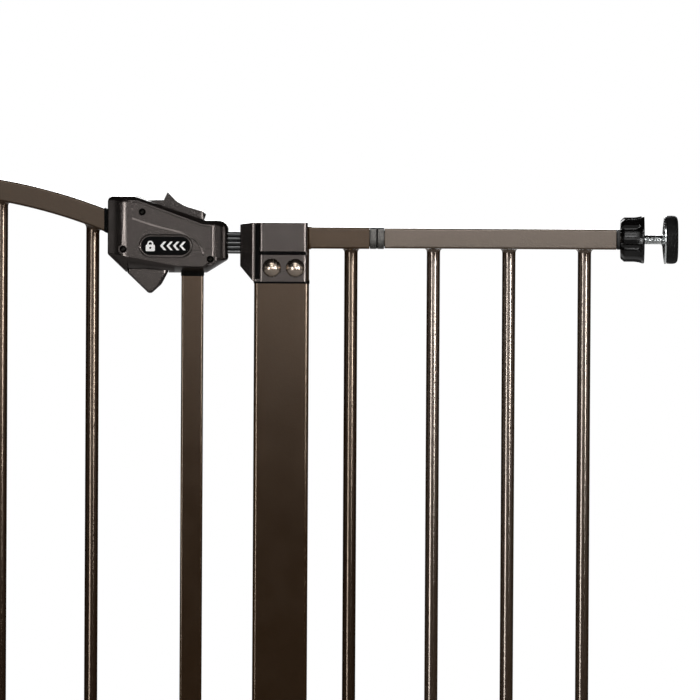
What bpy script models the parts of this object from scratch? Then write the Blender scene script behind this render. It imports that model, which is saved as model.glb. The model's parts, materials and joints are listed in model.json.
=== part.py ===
"""Pressure-mounted walk-through safety gate with an arched door and a side extension.

Metres, +Z up. The origin is on the floor at the middle of the walk-through opening, +X runs
along the gate towards the latch and the extension, and -Y is the front.
"""
import math

import bmesh
import bpy
from mathutils import Matrix, Vector

MM = 0.001
GAP = 0.3 * MM  # clearance between pieces that touch

# Heights
RAIL_Z = 752 * MM  # centre of the side panels' top rails
LOW_Z = 48 * MM  # centre of every bottom rail
THRESHOLD_H = 18 * MM
THRESHOLD_D = 30 * MM

# Tube sections: width, depth and wall
RAIL = 17.6 * MM
EXTENSION_RAIL = 16.6 * MM
STILE = 18.0 * MM
POST_W = 45.0 * MM
POST_D = 20.0 * MM
WALL = 1.0 * MM
BAR_D = 11.0 * MM
BAR_WALL = 0.8 * MM
PLUG_EASE = 0.8 * MM  # how much slimmer a plug is front to back, to clear a tube's round corners

# Places along the gate
STILE_X = 232 * MM
POST_X = 305.1 * MM
SIDE_BAR_X = 361.9 * MM
RAIL_END_X = 377.0 * MM
COUPLER_END_X = 389.0 * MM
COUPLER_COLLAR = 4.9 * MM
COUPLER_NECK = 7.0 * MM  # half its width
COUPLER_SPIGOT = 24 * MM
EXTENSION_BARS = [429.5 * MM, 491.4 * MM, 553.4 * MM]
EXTENSION_END_X = 579.5 * MM
DOOR_BAR_PITCH = 75 * MM
DOOR_BARS = 5

# Arched top rail of the door
ARCH_R = 439.5 * MM
ARCH_Z = RAIL_Z - 395.6 * MM  # height of the arc's centre
ARCH_LATCH_X = 205 * MM  # where the arch ends inside the latch housing

# Post caps
CAP_W = 43.7 * MM
CAP_WALL = 3.0 * MM
CAP_TOP = 12.5 * MM  # all cap and latch heights are from RAIL_Z
CAP_BOTTOM = -35.8 * MM
CAP_GROOVE = -12.4 * MM
GROOVE_H = 2.8 * MM
GROOVE_DEEP = 1.1 * MM
CAP_BOLT_Z = -24.6 * MM
CAP_BOLT_X = [297.0 * MM, 316.2 * MM]
BOLT_SHANK_R = 3.0 * MM
BOLT_HEAD_R = 7.6 * MM
BOLT_HEAD_H = 4.4 * MM
BOLT_BACK_Y = 18.0 * MM
NOSE_X = 271.0 * MM
NOSE_LOW = -23.3 * MM  # where the nose's slanted underside starts
CAP_HALF = POST_D / 2 + GAP + CAP_WALL
CAP_INNER_X = POST_X - POST_W / 2  # the post's face towards the door

# Latch
HOUSING_D = 36 * MM
HOUSING_WALL = 2.4 * MM
HOUSING_LEFT = 162.4 * MM
HOUSING_RIGHT = 261.2 * MM
HOUSING_TOP = 33.4 * MM
HOUSING_BOTTOM = -29.0 * MM
HOUSING_FOOT_X = [178.0 * MM, 243.8 * MM]  # the ends of its level underside
HOUSING_LEFT_LOW = -14.1 * MM  # where the slanted corners below start
HOUSING_RIGHT_LOW = -18.1 * MM
SLOPE_START = (184.1 * MM, 32.6 * MM)
SLOPE_END = (243.1 * MM, 14.2 * MM)
LATCH_Z = -4.4 * MM  # centre of the bolt
LATCH_BOLT_H = 18.0 * MM
LATCH_BOLT_D = 12.0 * MM
LATCH_BOLT_REAR = 214 * MM
LATCH_BOLT_TIP = NOSE_X - 0.5 * MM
BOLT_TRAVEL = 7 * MM
BOLT_PIN_X = 218 * MM
BOLT_PIN_R = 2.0 * MM
SOCKET_DEEP = 9.2 * MM
SOCKET_ROOM = 0.8 * MM  # all round the bolt
TRIGGER_D = 22 * MM
TRIGGER_X = [178.8 * MM, 212.0 * MM]
TRIGGER_TOP = -25.6 * MM
TRIGGER_PLATE = 1.8 * MM
STILE_LATCH_TOP = -16 * MM
STILE_HINGE_TOP = -4 * MM
SCREWS = [(190.7 * MM, 20.7 * MM), (175.2 * MM, -9.9 * MM), (246.6 * MM, -17.8 * MM)]
SCREW_R = 1.5 * MM
SCREW_HEAD_R = 2.8 * MM
SCREW_RECESS = 4.2 * MM
BOSS_R = 3.6 * MM
SPRING_Z = 9.3 * MM
SPRING_R = 2.6 * MM
SPRING_WIRE_R = 0.4 * MM
SPRING_COILS = 5
SPRING_REST_X = 204.8 * MM
SPRING_LUG_X = 226 * MM
THUMB_W = 14 * MM
THUMB_START = 8.5 * MM  # the slide's ends, measured along the housing's slope
THUMB_END = 60.0 * MM
THUMB_TRAVEL = 7 * MM

# Wall spindles
KNOB_R = 19.5 * MM
KNOB_LENGTH = 19.4 * MM
KNOB_LOBES = 7
ROD_R = 3.9 * MM
ROD_BORE_R = ROD_R + GAP
ROD_SHOWN = 15.0 * MM
ROD_INSIDE = 40.0 * MM
BUSHING_FLANGE = 2.8 * MM
BUSHING_PLUG = 16 * MM
DISH_R = 19.8 * MM
DISH_H = 3.0 * MM
PAD_H = 9.4 * MM

# Hinge
HINGE_SPIGOT_R = 7.7 * MM
HINGE_COLLAR_R = 10.0 * MM
HINGE_COLLAR_H = 3.6 * MM
HINGE_STEM_R = 4.0 * MM
HINGE_ARM_H = 12.0 * MM
HINGE_STEM = 9 * MM
HINGE_SPIGOT = 24 * MM
HINGE_ARM_HALF = 11 * MM
STILE_BOTTOM = 34.6 * MM

# Colour (linear), roughness, metallic
FINISHES = {
    "bronze_paint": ((0.062, 0.043, 0.029), 0.42, 0.55),
    "extension_paint": ((0.105, 0.085, 0.066), 0.42, 0.5),
    "charcoal_plastic": ((0.060, 0.050, 0.044), 0.38, 0.0),
    "black_plastic": ((0.012, 0.011, 0.010), 0.35, 0.0),
    "rubber": ((0.010, 0.010, 0.010), 0.75, 0.0),
    "zinc": ((0.62, 0.64, 0.65), 0.22, 1.0),
    "black_zinc": ((0.014, 0.013, 0.012), 0.3, 0.6),
    "bolt_bronze": ((0.36, 0.30, 0.24), 0.12, 1.0),
    "bolt_grey": ((0.20, 0.20, 0.19), 0.35, 0.2),
    "spring_steel": ((0.45, 0.45, 0.46), 0.3, 1.0),
}


def clear_scene():
    for item in list(bpy.data.objects):
        bpy.data.objects.remove(item, do_unlink=True)


def new_collection(name):
    collection = bpy.data.collections.new(name)
    bpy.context.scene.collection.children.link(collection)
    return collection


def new_material(name, finish):
    color, roughness, metallic = FINISHES[finish]
    material = bpy.data.materials.new(name)
    material.use_nodes = True
    shader = material.node_tree.nodes["Principled BSDF"]
    shader.inputs["Base Color"].default_value = (*color, 1)
    shader.inputs["Roughness"].default_value = roughness
    shader.inputs["Metallic"].default_value = metallic
    material.diffuse_color = (*color, 1)
    return material


clear_scene()
GATE = new_collection("safety_gate")
CUTTERS = new_collection("cutters")

# ---- outlines ------------------------------------------------------------------------------


def rounded(corners, radius, steps=3):
    """The outline through the corners, each turned into an arc. A corner may carry its own radius."""
    points = []
    count = len(corners)
    for i, corner in enumerate(corners):
        here = Vector(corner[:2])
        size = corner[2] if len(corner) > 2 else radius
        before = (Vector(corners[i - 1][:2]) - here).normalized()
        after = (Vector(corners[(i + 1) % count][:2]) - here).normalized()
        if size == 0:
            points.append(tuple(here))
            continue
        half = before.angle(after) / 2
        centre = here + (before + after).normalized() * size / math.sin(half)
        start = here + before * size / math.tan(half) - centre
        end = here + after * size / math.tan(half) - centre
        turn = start.angle_signed(end)
        for k in range(steps + 1):
            arm = start.copy()
            arm.rotate(Matrix.Rotation(-turn * k / steps, 2))
            points.append(tuple(centre + arm))
    return points


def rectangle(width, height, radius=0.0, centre=(0, 0), steps=3):
    u, v = centre
    corners = [
        (u - width / 2, v - height / 2),
        (u + width / 2, v - height / 2),
        (u + width / 2, v + height / 2),
        (u - width / 2, v + height / 2),
    ]
    return rounded(corners, radius, steps) if radius else corners


def circle(radius, centre=(0, 0), steps=16):
    angles = [2 * math.pi * (k + 0.5) / steps for k in range(steps)]
    return [(centre[0] + radius * math.cos(a), centre[1] + radius * math.sin(a)) for a in angles]


def arch(half_width, start_x, end_x, steps):
    """A band of the door's arch, between two upright ends."""
    outer, inner = ARCH_R + half_width, ARCH_R - half_width
    points = []
    for radius, ends in ((outer, (start_x, end_x)), (inner, (end_x, start_x))):
        first, last = [math.asin(x / radius) for x in ends]
        for k in range(steps + 1):
            angle = first + (last - first) * k / steps
            points.append((radius * math.sin(angle), ARCH_Z + radius * math.cos(angle)))
    return points


# ---- solids --------------------------------------------------------------------------------

PLANES = {
    "XY": Matrix.Identity(4),
    "XZ": Matrix(((1, 0, 0, 0), (0, 0, -1, 0), (0, 1, 0, 0), (0, 0, 0, 1))),
    "YZ": Matrix(((0, 0, 1, 0), (1, 0, 0, 0), (0, 1, 0, 0), (0, 0, 0, 1))),
}


def as_mesh(guide, matrix):
    """The guide's evaluated mesh, with its caps welded, moved by the matrix."""
    CUTTERS.objects.link(guide)
    bpy.context.view_layer.update()
    evaluated = guide.evaluated_get(bpy.context.evaluated_depsgraph_get())
    mesh = bpy.data.meshes.new_from_object(evaluated)
    bpy.data.objects.remove(guide)
    form = bmesh.new()
    form.from_mesh(mesh)
    bmesh.ops.remove_doubles(form, verts=form.verts, dist=0.00001)
    bmesh.ops.transform(form, matrix=matrix, verts=form.verts)
    bmesh.ops.recalc_face_normals(form, faces=form.faces)
    form.to_mesh(mesh)
    form.free()
    mesh.materials.clear()
    return mesh


def prism(loops, near, far, plane):
    """Flat loops, the later ones holes, extruded from near to far along the plane's normal."""
    curve = bpy.data.curves.new("outline", "CURVE")
    curve.dimensions = "2D"
    curve.fill_mode = "BOTH"
    curve.extrude = abs(far - near) / 2
    for loop in loops:
        spline = curve.splines.new("POLY")
        spline.points.add(len(loop) - 1)
        for point, (u, v) in zip(spline.points, loop):
            point.co = (u, v, 0, 1)
        spline.use_cyclic_u = True
    guide = bpy.data.objects.new("outline", curve)
    middle = (near + far) / 2
    shift = {"XY": (0, 0, middle), "XZ": (0, middle, 0), "YZ": (middle, 0, 0)}[plane]
    return as_mesh(guide, Matrix.Translation(shift) @ PLANES[plane])


def box(low, high):
    form = bmesh.new()
    bmesh.ops.create_cube(form, size=1)
    centre = (Vector(low) + Vector(high)) / 2
    size = Vector(high) - Vector(low)
    bmesh.ops.transform(form, matrix=Matrix.LocRotScale(centre, None, size), verts=form.verts)
    mesh = bpy.data.meshes.new("box")
    form.to_mesh(mesh)
    form.free()
    return mesh


def cylinder(radius, start, end, steps=16):
    """A closed cylinder between two points."""
    start, end = Vector(start), Vector(end)
    along = end - start
    turn = along.to_track_quat("Z", "Y").to_matrix().to_4x4()
    form = bmesh.new()
    bmesh.ops.create_cone(
        form,
        cap_ends=True,
        segments=steps,
        radius1=radius,
        radius2=radius,
        depth=along.length,
        matrix=Matrix.Translation((start + end) / 2) @ turn,
    )
    mesh = bpy.data.meshes.new("cylinder")
    form.to_mesh(mesh)
    form.free()
    return mesh


def turned(profile, start, direction, steps=20):
    """A profile of (radius, distance) from its far end to its near end, turned about a line."""
    mesh = bpy.data.meshes.new("profile")
    points = [(radius, 0, distance) for radius, distance in profile]
    mesh.from_pydata(points, [(i, i + 1) for i in range(len(points) - 1)], [])
    guide = bpy.data.objects.new("profile", mesh)
    screw = guide.modifiers.new("Turn", "SCREW")
    screw.steps = steps
    screw.render_steps = steps
    screw.use_merge_vertices = True
    screw.merge_threshold = 0.00001
    turn = Vector(direction).to_track_quat("Z", "Y").to_matrix().to_4x4()
    return as_mesh(guide, Matrix.Translation(start) @ turn)


# ---- objects -------------------------------------------------------------------------------


def new_body(name, origin=(0, 0, 0)):
    """An empty on the joint's axis, which the body's pieces hang from."""
    empty = bpy.data.objects.new(name, None)
    empty.location = origin
    empty.empty_display_size = 0.03
    GATE.objects.link(empty)
    return empty


def add(name, mesh, body, finish, smooth=False):
    """One named piece of a body. The mesh is in world coordinates."""
    mesh.transform(Matrix.Translation(-body.location))
    mesh.name = name
    mesh.materials.append(new_material(name, finish))
    if smooth:
        mesh.shade_smooth()
        mesh.set_sharp_from_angle(angle=math.radians(35))
    piece = bpy.data.objects.new(name, mesh)
    piece.parent = body
    GATE.objects.link(piece)
    return piece


def cutter(name, mesh):
    tool = bpy.data.objects.new(name, mesh)
    tool.hide_render = True
    tool.display_type = "WIRE"
    CUTTERS.objects.link(tool)
    return tool


def combine(piece, operation, tools):
    for tool in tools:
        modifier = piece.modifiers.new(f"{operation.title()} {tool.name}", "BOOLEAN")
        modifier.operation = operation
        modifier.object = tool
    return piece


def side_name(side):
    return "right" if side > 0 else "left"


def square_tube(size, near, far, centre, plane, depth=None, wall=WALL):
    """A straight tube with rounded edges and open ends."""
    depth = depth or size
    outer = rectangle(size, depth, 2.2 * MM, centre)
    inner = rectangle(size - 2 * wall, depth - 2 * wall, 1.4 * MM, centre, 2)
    return prism([outer, inner], near, far, plane)


def round_tube(x, low, high):
    outer = circle(BAR_D / 2, (x, 0), 20)
    inner = circle(BAR_D / 2 - BAR_WALL, (x, 0), 12)
    return prism([outer, inner], low, high, "XY")


# ---- the fixed frame -----------------------------------------------------------------------


def make_posts(frame):
    top = RAIL_Z + CAP_TOP - CAP_WALL - GAP
    for side in (-1, 1):
        outline = square_tube(POST_W, 0, top, (side * POST_X, 0), "XY", POST_D, 1.2 * MM)
        post = add(f"post_{side_name(side)}", outline, frame, "bronze_paint")
        combine(post, "DIFFERENCE", [cap_bolt_hole(side, x) for x in CAP_BOLT_X])
    end = POST_X - POST_W / 2 - GAP
    threshold = square_tube(THRESHOLD_D, -end, end, (0, THRESHOLD_H / 2), "YZ", THRESHOLD_H, 1.2 * MM)
    add("threshold_rail", threshold, frame, "bronze_paint")


def cap_bolt_hole(side, x):
    """The hole through cap and post for one cap bolt."""
    height = RAIL_Z + CAP_BOLT_Z
    reach = 30 * MM
    mesh = cylinder(BOLT_SHANK_R + GAP, (side * x, -reach, height), (side * x, reach, height))
    return cutter("cap_bolt_hole", mesh)


def make_side_panels(frame):
    inner = POST_X + POST_W / 2 + GAP
    for side in (-1, 1):
        ends = sorted((side * inner, side * RAIL_END_X))
        for level, height in (("top", RAIL_Z), ("bottom", LOW_Z)):
            rail = square_tube(RAIL, *ends, (0, height), "YZ")
            add(f"side_{level}_rail_{side_name(side)}", rail, frame, "bronze_paint")
        bar = round_tube(side * SIDE_BAR_X, LOW_Z + RAIL / 2 + GAP, RAIL_Z - RAIL / 2 - GAP)
        add(f"side_bar_{side_name(side)}", bar, frame, "bronze_paint", True)


def make_extension(frame):
    for level, height in (("top", RAIL_Z), ("bottom", LOW_Z)):
        rail = square_tube(
            EXTENSION_RAIL, COUPLER_END_X + GAP, EXTENSION_END_X, (0, height), "YZ"
        )
        add(f"extension_{level}_rail", rail, frame, "extension_paint")
        add(f"extension_coupler_{level}", coupler(height), frame, "black_plastic")
    for i, x in enumerate(EXTENSION_BARS, 1):
        half = EXTENSION_RAIL / 2 + GAP
        bar = round_tube(x, LOW_Z + half, RAIL_Z - half)
        add(f"extension_bar_{i}", bar, frame, "extension_paint", True)


def coupler(height):
    """Two collars with a neck between them, and a spigot into each rail end."""
    plug = RAIL / 2 - WALL - GAP
    small_plug = EXTENSION_RAIL / 2 - WALL - GAP
    collar = RAIL / 2
    left = RAIL_END_X + GAP
    right = COUPLER_END_X
    stations = [
        (left - COUPLER_SPIGOT, plug),
        (left, plug),
        (left, collar),
        (left + COUPLER_COLLAR, collar),
        (left + COUPLER_COLLAR, COUPLER_NECK),
        (right - COUPLER_COLLAR, COUPLER_NECK),
        (right - COUPLER_COLLAR, collar),
        (right, collar),
        (right, small_plug),
        (right + COUPLER_SPIGOT, small_plug),
    ]
    upper = [(x, height + half) for x, half in stations]
    lower = [(x, height - half) for x, half in reversed(stations)]
    half_depth = small_plug - PLUG_EASE
    return prism([lower + upper], -half_depth, half_depth, "XZ")


def bushing(side, end_x, size, height):
    """A flanged plug in a rail's outer end, bored for the rod."""
    half = size / 2 - WALL - GAP
    start = end_x + GAP
    outline = [
        (start - BUSHING_PLUG, -half),
        (start, -half),
        (start, -size / 2),
        (start + BUSHING_FLANGE, -size / 2),
        (start + BUSHING_FLANGE, size / 2),
        (start, size / 2),
        (start, half),
        (start - BUSHING_PLUG, half),
    ]
    corners = [(side * x, height + z) for x, z in outline]
    return prism([corners], PLUG_EASE - half, half - PLUG_EASE, "XZ")


def make_caps(frame):
    latch = combine(
        add("latch_post_cap", nose_and_cap(), frame, "charcoal_plastic"),
        "DIFFERENCE",
        [*cap_cutters(1), strike_socket()],
    )
    hinge = combine(
        add("hinge_post_cap", arm_and_cap(), frame, "charcoal_plastic"),
        "DIFFERENCE",
        [*cap_cutters(-1), hinge_stem_hole("upper", RAIL_Z - 5 * MM, RAIL_Z + 30 * MM)],
    )
    for cap, side in ((latch, 1), (hinge, -1)):
        combine(cap, "DIFFERENCE", [cap_bolt_hole(side, x) for x in CAP_BOLT_X])


def cap_cutters(side):
    """The hollow that the post's top fills, and the groove across the front and the back."""
    half = POST_D / 2 + GAP
    ends = sorted((side * (CAP_INNER_X - GAP), side * (CAP_INNER_X + 60 * MM)))
    hollow = box(
        (ends[0], -half, RAIL_Z - 60 * MM), (ends[1], half, RAIL_Z + CAP_TOP - CAP_WALL)
    )
    tools = [cutter("cap_hollow", hollow)]
    low = RAIL_Z + CAP_GROOVE - GROOVE_H / 2
    for face in (-1, 1):
        depths = sorted((face * (CAP_HALF - GROOVE_DEEP), face * (CAP_HALF + 5 * MM)))
        ends = sorted((side * (CAP_INNER_X + 2 * MM), side * (CAP_INNER_X + 60 * MM)))
        groove = box((ends[0], depths[0], low), (ends[1], depths[1], low + GROOVE_H))
        tools.append(cutter("cap_groove", groove))
    return tools


def nose_and_cap():
    """The latch cap's outline seen from the front, cut to its rounded outline seen from above."""
    right = CAP_INNER_X + CAP_W
    front = rounded(
        [
            (NOSE_X, RAIL_Z + NOSE_LOW, 1 * MM),
            (CAP_INNER_X - 1 * MM, RAIL_Z + CAP_BOTTOM, 1 * MM),
            (right, RAIL_Z + CAP_BOTTOM, 0.6 * MM),
            (right, RAIL_Z + CAP_TOP, 1 * MM),
            (CAP_INNER_X - 1 * MM, RAIL_Z + CAP_TOP, 2 * MM),
            (NOSE_X, RAIL_Z + CAP_TOP - 1.4 * MM, 1 * MM),
        ],
        0,
        2,
    )
    plan = rounded(
        [
            (NOSE_X, -CAP_HALF, 9.5 * MM),
            (right, -CAP_HALF, 1 * MM),
            (right, CAP_HALF, 1 * MM),
            (NOSE_X, CAP_HALF, 9.5 * MM),
        ],
        0,
        6,
    )
    return intersection(
        prism([front], -CAP_HALF, CAP_HALF, "XZ"),
        prism([plan], RAIL_Z - 60 * MM, RAIL_Z + 60 * MM, "XY"),
    )


def arm_and_cap():
    """The hinge cap, with the arm that reaches over the hinge stile."""
    left = CAP_INNER_X + CAP_W
    tip = STILE_X - HINGE_ARM_HALF
    arm_low = RAIL_Z + CAP_TOP - HINGE_ARM_H
    front = rounded(
        [
            (-left, RAIL_Z + CAP_BOTTOM, 0.6 * MM),
            (-CAP_INNER_X + 1 * MM, RAIL_Z + CAP_BOTTOM, 1 * MM),
            (-NOSE_X, RAIL_Z + NOSE_LOW, 2 * MM),
            (-NOSE_X, arm_low, 3 * MM),
            (-tip, arm_low, 1 * MM),
            (-tip, RAIL_Z + CAP_TOP, 1 * MM),
            (-left, RAIL_Z + CAP_TOP, 1 * MM),
        ],
        0,
        2,
    )
    plan = rounded(
        [
            (-left, -CAP_HALF, 1 * MM),
            (-CAP_INNER_X + 2 * MM, -CAP_HALF, 3 * MM),
            (-STILE_X - 22 * MM, -HINGE_ARM_HALF, 6 * MM),
            (-tip, -HINGE_ARM_HALF, 10.6 * MM),
            (-tip, HINGE_ARM_HALF, 10.6 * MM),
            (-STILE_X - 22 * MM, HINGE_ARM_HALF, 6 * MM),
            (-CAP_INNER_X + 2 * MM, CAP_HALF, 3 * MM),
            (-left, CAP_HALF, 1 * MM),
        ],
        0,
        4,
    )
    return intersection(
        prism([front], -CAP_HALF, CAP_HALF, "XZ"),
        prism([plan], RAIL_Z - 60 * MM, RAIL_Z + 60 * MM, "XY"),
    )


def intersection(*meshes):
    """The solid that all the meshes share."""
    piece = bpy.data.objects.new("shared", meshes[0])
    tools = [cutter("shape", mesh) for mesh in meshes[1:]]
    return as_mesh(combine(piece, "INTERSECT", tools), Matrix.Identity(4))


def strike_socket():
    """The pocket in the nose that the latch bolt enters."""
    half = LATCH_BOLT_D / 2 + SOCKET_ROOM
    middle = RAIL_Z + LATCH_Z
    rise = LATCH_BOLT_H / 2 + SOCKET_ROOM
    mesh = box(
        (NOSE_X - 10 * MM, -half, middle - rise), (NOSE_X + SOCKET_DEEP, half, middle + rise)
    )
    return cutter("strike_socket", mesh)


def make_cap_bolts(frame):
    """Dome heads on the caps' front faces, with their shanks through cap and post."""
    length = BOLT_BACK_Y + CAP_HALF + GAP
    dome = [
        (BOLT_HEAD_R * math.cos(a), length + BOLT_HEAD_H * math.sin(a))
        for a in [math.radians(angle) for angle in (90, 68, 46, 24, 0)]
    ]
    dome[0] = (0, length + BOLT_HEAD_H)
    profile = [*dome, (BOLT_SHANK_R, length), (BOLT_SHANK_R, 0), (0, 0)]
    for side, end in ((1, "latch"), (-1, "hinge")):
        for i, x in enumerate(CAP_BOLT_X, 1):
            start = (side * x, BOLT_BACK_Y, RAIL_Z + CAP_BOLT_Z)
            mesh = turned(profile, start, (0, -1, 0), 16)
            add(f"{end}_cap_bolt_{i}", mesh, frame, "bolt_bronze", True)


def hinge_stem_hole(name, low, high):
    mesh = cylinder(HINGE_STEM_R + GAP, (-STILE_X, 0, low), (-STILE_X, 0, high))
    return cutter(f"{name}_hinge_hole", mesh)


def make_hinge(frame):
    """The lower bracket, and the two pins that the hinge stile turns on."""
    low, high = THRESHOLD_H + GAP, STILE_BOTTOM - GAP - HINGE_COLLAR_H - GAP
    outline = rounded(
        [
            (-CAP_INNER_X + GAP, -HINGE_ARM_HALF, 0),
            (-STILE_X + HINGE_ARM_HALF, -HINGE_ARM_HALF, 10.6 * MM),
            (-STILE_X + HINGE_ARM_HALF, HINGE_ARM_HALF, 10.6 * MM),
            (-CAP_INNER_X + GAP, HINGE_ARM_HALF, 0),
        ],
        0,
        5,
    )
    bracket = add("lower_hinge_bracket", prism([outline], low, high, "XY"), frame, "charcoal_plastic")
    combine(bracket, "DIFFERENCE", [hinge_stem_hole("lower", low - 5 * MM, high + 5 * MM)])
    profile = [
        (0, HINGE_COLLAR_H + HINGE_SPIGOT),
        (HINGE_SPIGOT_R, HINGE_COLLAR_H + HINGE_SPIGOT),
        (HINGE_SPIGOT_R, HINGE_COLLAR_H),
        (HINGE_COLLAR_R, HINGE_COLLAR_H),
        (HINGE_COLLAR_R, 0),
        (HINGE_STEM_R, 0),
        (HINGE_STEM_R, -HINGE_STEM),
        (0, -HINGE_STEM),
    ]
    foot = (-STILE_X, 0, STILE_BOTTOM - GAP - HINGE_COLLAR_H)
    add("lower_hinge_pin", turned(profile, foot, (0, 0, 1)), frame, "bolt_grey", True)
    head = (-STILE_X, 0, RAIL_Z + STILE_HINGE_TOP + GAP + HINGE_COLLAR_H)
    add("upper_hinge_pin", turned(profile, head, (0, 0, -1)), frame, "bolt_grey", True)


# ---- the wall spindles ---------------------------------------------------------------------


def knob_outline():
    """Seven lobes with round flutes between them."""
    points = []
    flute = 0.18
    for lobe in range(KNOB_LOBES):
        middle = 2 * math.pi * lobe / KNOB_LOBES
        half = math.pi / KNOB_LOBES
        for part in (-0.62, -0.2, 0.2, 0.62):
            angle = middle + part * half
            points.append((KNOB_R * math.cos(angle), KNOB_R * math.sin(angle)))
        for part in (0.78, 1.0, 1.22):
            angle = middle + part * half
            radius = KNOB_R * (1 - flute * (1 if part == 1.0 else 0.8))
            points.append((radius * math.cos(angle), radius * math.sin(angle)))
    return points


def make_spindles(frame):
    """A knob, a threaded rod with its dished plate, and a rubber pad at each outer corner."""
    for side, end_x, size in ((1, EXTENSION_END_X, EXTENSION_RAIL), (-1, RAIL_END_X, RAIL)):
        for level, height in (("top", RAIL_Z), ("bottom", LOW_Z)):
            name = f"{level}_{side_name(side)}"
            plug = add(
                f"end_bushing_{name}", bushing(side, end_x, size, height), frame, "black_plastic"
            )
            reach = (side * (end_x - 30 * MM), 0, height), (side * (end_x + 30 * MM), 0, height)
            combine(plug, "DIFFERENCE", [cutter("rod_bore", cylinder(ROD_BORE_R, *reach))])
            make_spindle(name, side, end_x + 2 * GAP + BUSHING_FLANGE, height)


def make_spindle(name, side, knob_x, height):
    origin = (side * knob_x, 0, height)
    knob_body = new_body(f"knob_joint_{name}", origin)
    bore = circle(ROD_BORE_R, (0, 0), 16)
    mesh = prism([knob_outline(), bore], knob_x, knob_x + KNOB_LENGTH, "YZ")
    if side < 0:
        mesh.transform(Matrix.Rotation(math.pi, 4, "Z"))
    mesh.transform(Matrix.Translation((0, 0, height)))
    add(f"knob_{name}", mesh, knob_body, "black_plastic")

    spindle_body = new_body(f"spindle_joint_{name}", origin)
    plate_x = KNOB_LENGTH + ROD_SHOWN
    rod = [
        (0, plate_x + DISH_H),
        (DISH_R, plate_x + DISH_H),
        (DISH_R, plate_x + DISH_H - 1.4 * MM),
        (ROD_R + 4 * MM, plate_x),
        (ROD_R, plate_x),
        (ROD_R, -ROD_INSIDE),
        (0, -ROD_INSIDE),
    ]
    axis = (side, 0, 0)
    add(f"rod_{name}", turned(rod, origin, axis, 24), spindle_body, "zinc", True)
    start = plate_x + DISH_H + GAP
    pad = [
        (0, start + PAD_H),
        (DISH_R - 4.5 * MM, start + PAD_H),
        (DISH_R - 0.6 * MM, start + PAD_H - 4 * MM),
        (DISH_R, start + PAD_H - 6.4 * MM),
        (DISH_R - 0.8 * MM, start),
        (0, start),
    ]
    add(f"wall_pad_{name}", turned(pad, origin, axis, 24), spindle_body, "rubber", True)


# ---- the door ------------------------------------------------------------------------------


def make_door(door):
    for side, name, top in ((1, "latch", STILE_LATCH_TOP), (-1, "hinge", STILE_HINGE_TOP)):
        mesh = square_tube(STILE, STILE_BOTTOM, RAIL_Z + top, (side * STILE_X, 0), "XY")
        add(f"door_stile_{name}", mesh, door, "bronze_paint")
    inner = STILE_X - STILE / 2 - GAP
    add("door_bottom_rail", square_tube(RAIL, -inner, inner, (0, LOW_Z), "YZ"), door, "bronze_paint")

    half = RAIL / 2
    solid = prism([arch(half, -inner, ARCH_LATCH_X, 24)], -half, half, "XZ")
    top_rail = add("door_top_rail", solid, door, "bronze_paint")
    bevel = top_rail.modifiers.new("Round edges", "BEVEL")
    bevel.width = 2.2 * MM
    bevel.segments = 2
    bevel.limit_method = "ANGLE"
    bevel.angle_limit = math.radians(50)
    room = 20 * MM
    hollow = prism(
        [arch(half - WALL, -inner - room, ARCH_LATCH_X + room, 24)], WALL - half, half - WALL, "XZ"
    )
    combine(top_rail, "DIFFERENCE", [cutter("top_rail_hollow", hollow)])

    band = prism(
        [arch(half + GAP, -inner - room, ARCH_LATCH_X + room, 24)], -half, half, "XZ"
    )
    arch_shape = cutter("arch_over_bars", band)
    for i in range(DOOR_BARS):
        x = (i - (DOOR_BARS - 1) / 2) * DOOR_BAR_PITCH
        middle = ARCH_Z + math.sqrt(ARCH_R**2 - x**2)
        bar = add(
            f"door_bar_{i + 1}",
            round_tube(x, LOW_Z + RAIL / 2 + GAP, middle),
            door,
            "bronze_paint",
            True,
        )
        combine(bar, "DIFFERENCE", [arch_shape])


# ---- the latch -----------------------------------------------------------------------------


def housing_form(inset):
    """The housing's outside, or its hollow when inset: three outlines, seen from the front,
    from above and from the side, and the solid that they share."""
    slope = (SLOPE_END[1] - SLOPE_START[1]) / (SLOPE_END[0] - SLOPE_START[0])
    drop = inset * math.sqrt(1 + slope**2)
    left, right = HOUSING_LEFT + inset, HOUSING_RIGHT - inset
    top, bottom = RAIL_Z + HOUSING_TOP - inset, RAIL_Z + HOUSING_BOTTOM + inset
    flat = RAIL_Z + SLOPE_END[1] - inset
    start_x = SLOPE_START[0] - (drop - inset) / slope
    front = rounded(
        [
            (left, RAIL_Z + HOUSING_LEFT_LOW + 0.4 * inset, 2 * MM),
            (HOUSING_FOOT_X[0], bottom, 1 * MM),
            (HOUSING_FOOT_X[1], bottom, 2 * MM),
            (right, RAIL_Z + HOUSING_RIGHT_LOW + 0.5 * inset, 2 * MM),
            (right, flat, 7.5 * MM - inset),
            (SLOPE_END[0] - 0.2 * inset, flat, 2 * MM),
            (start_x - 4 * MM, top, 2 * MM),
            (left, top, 4 * MM),
        ],
        0,
        3,
    )
    half = HOUSING_D / 2 - inset
    soft = 13 * MM - inset
    plan = rounded(rectangle(right - left, 2 * half, 0, ((left + right) / 2, 0)), soft, 6)
    side = rounded(
        [
            (-half, bottom, 6.5 * MM - inset),
            (half, bottom, 6.5 * MM - inset),
            (half, top, 4.5 * MM - inset),
            (-half, top, 4.5 * MM - inset),
        ],
        0,
        3,
    )
    return intersection(
        prism([front], -half, half, "XZ"),
        prism([plan], bottom - 5 * MM, top + 5 * MM, "XY"),
        prism([side], left - 5 * MM, right + 5 * MM, "YZ"),
    )


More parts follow.
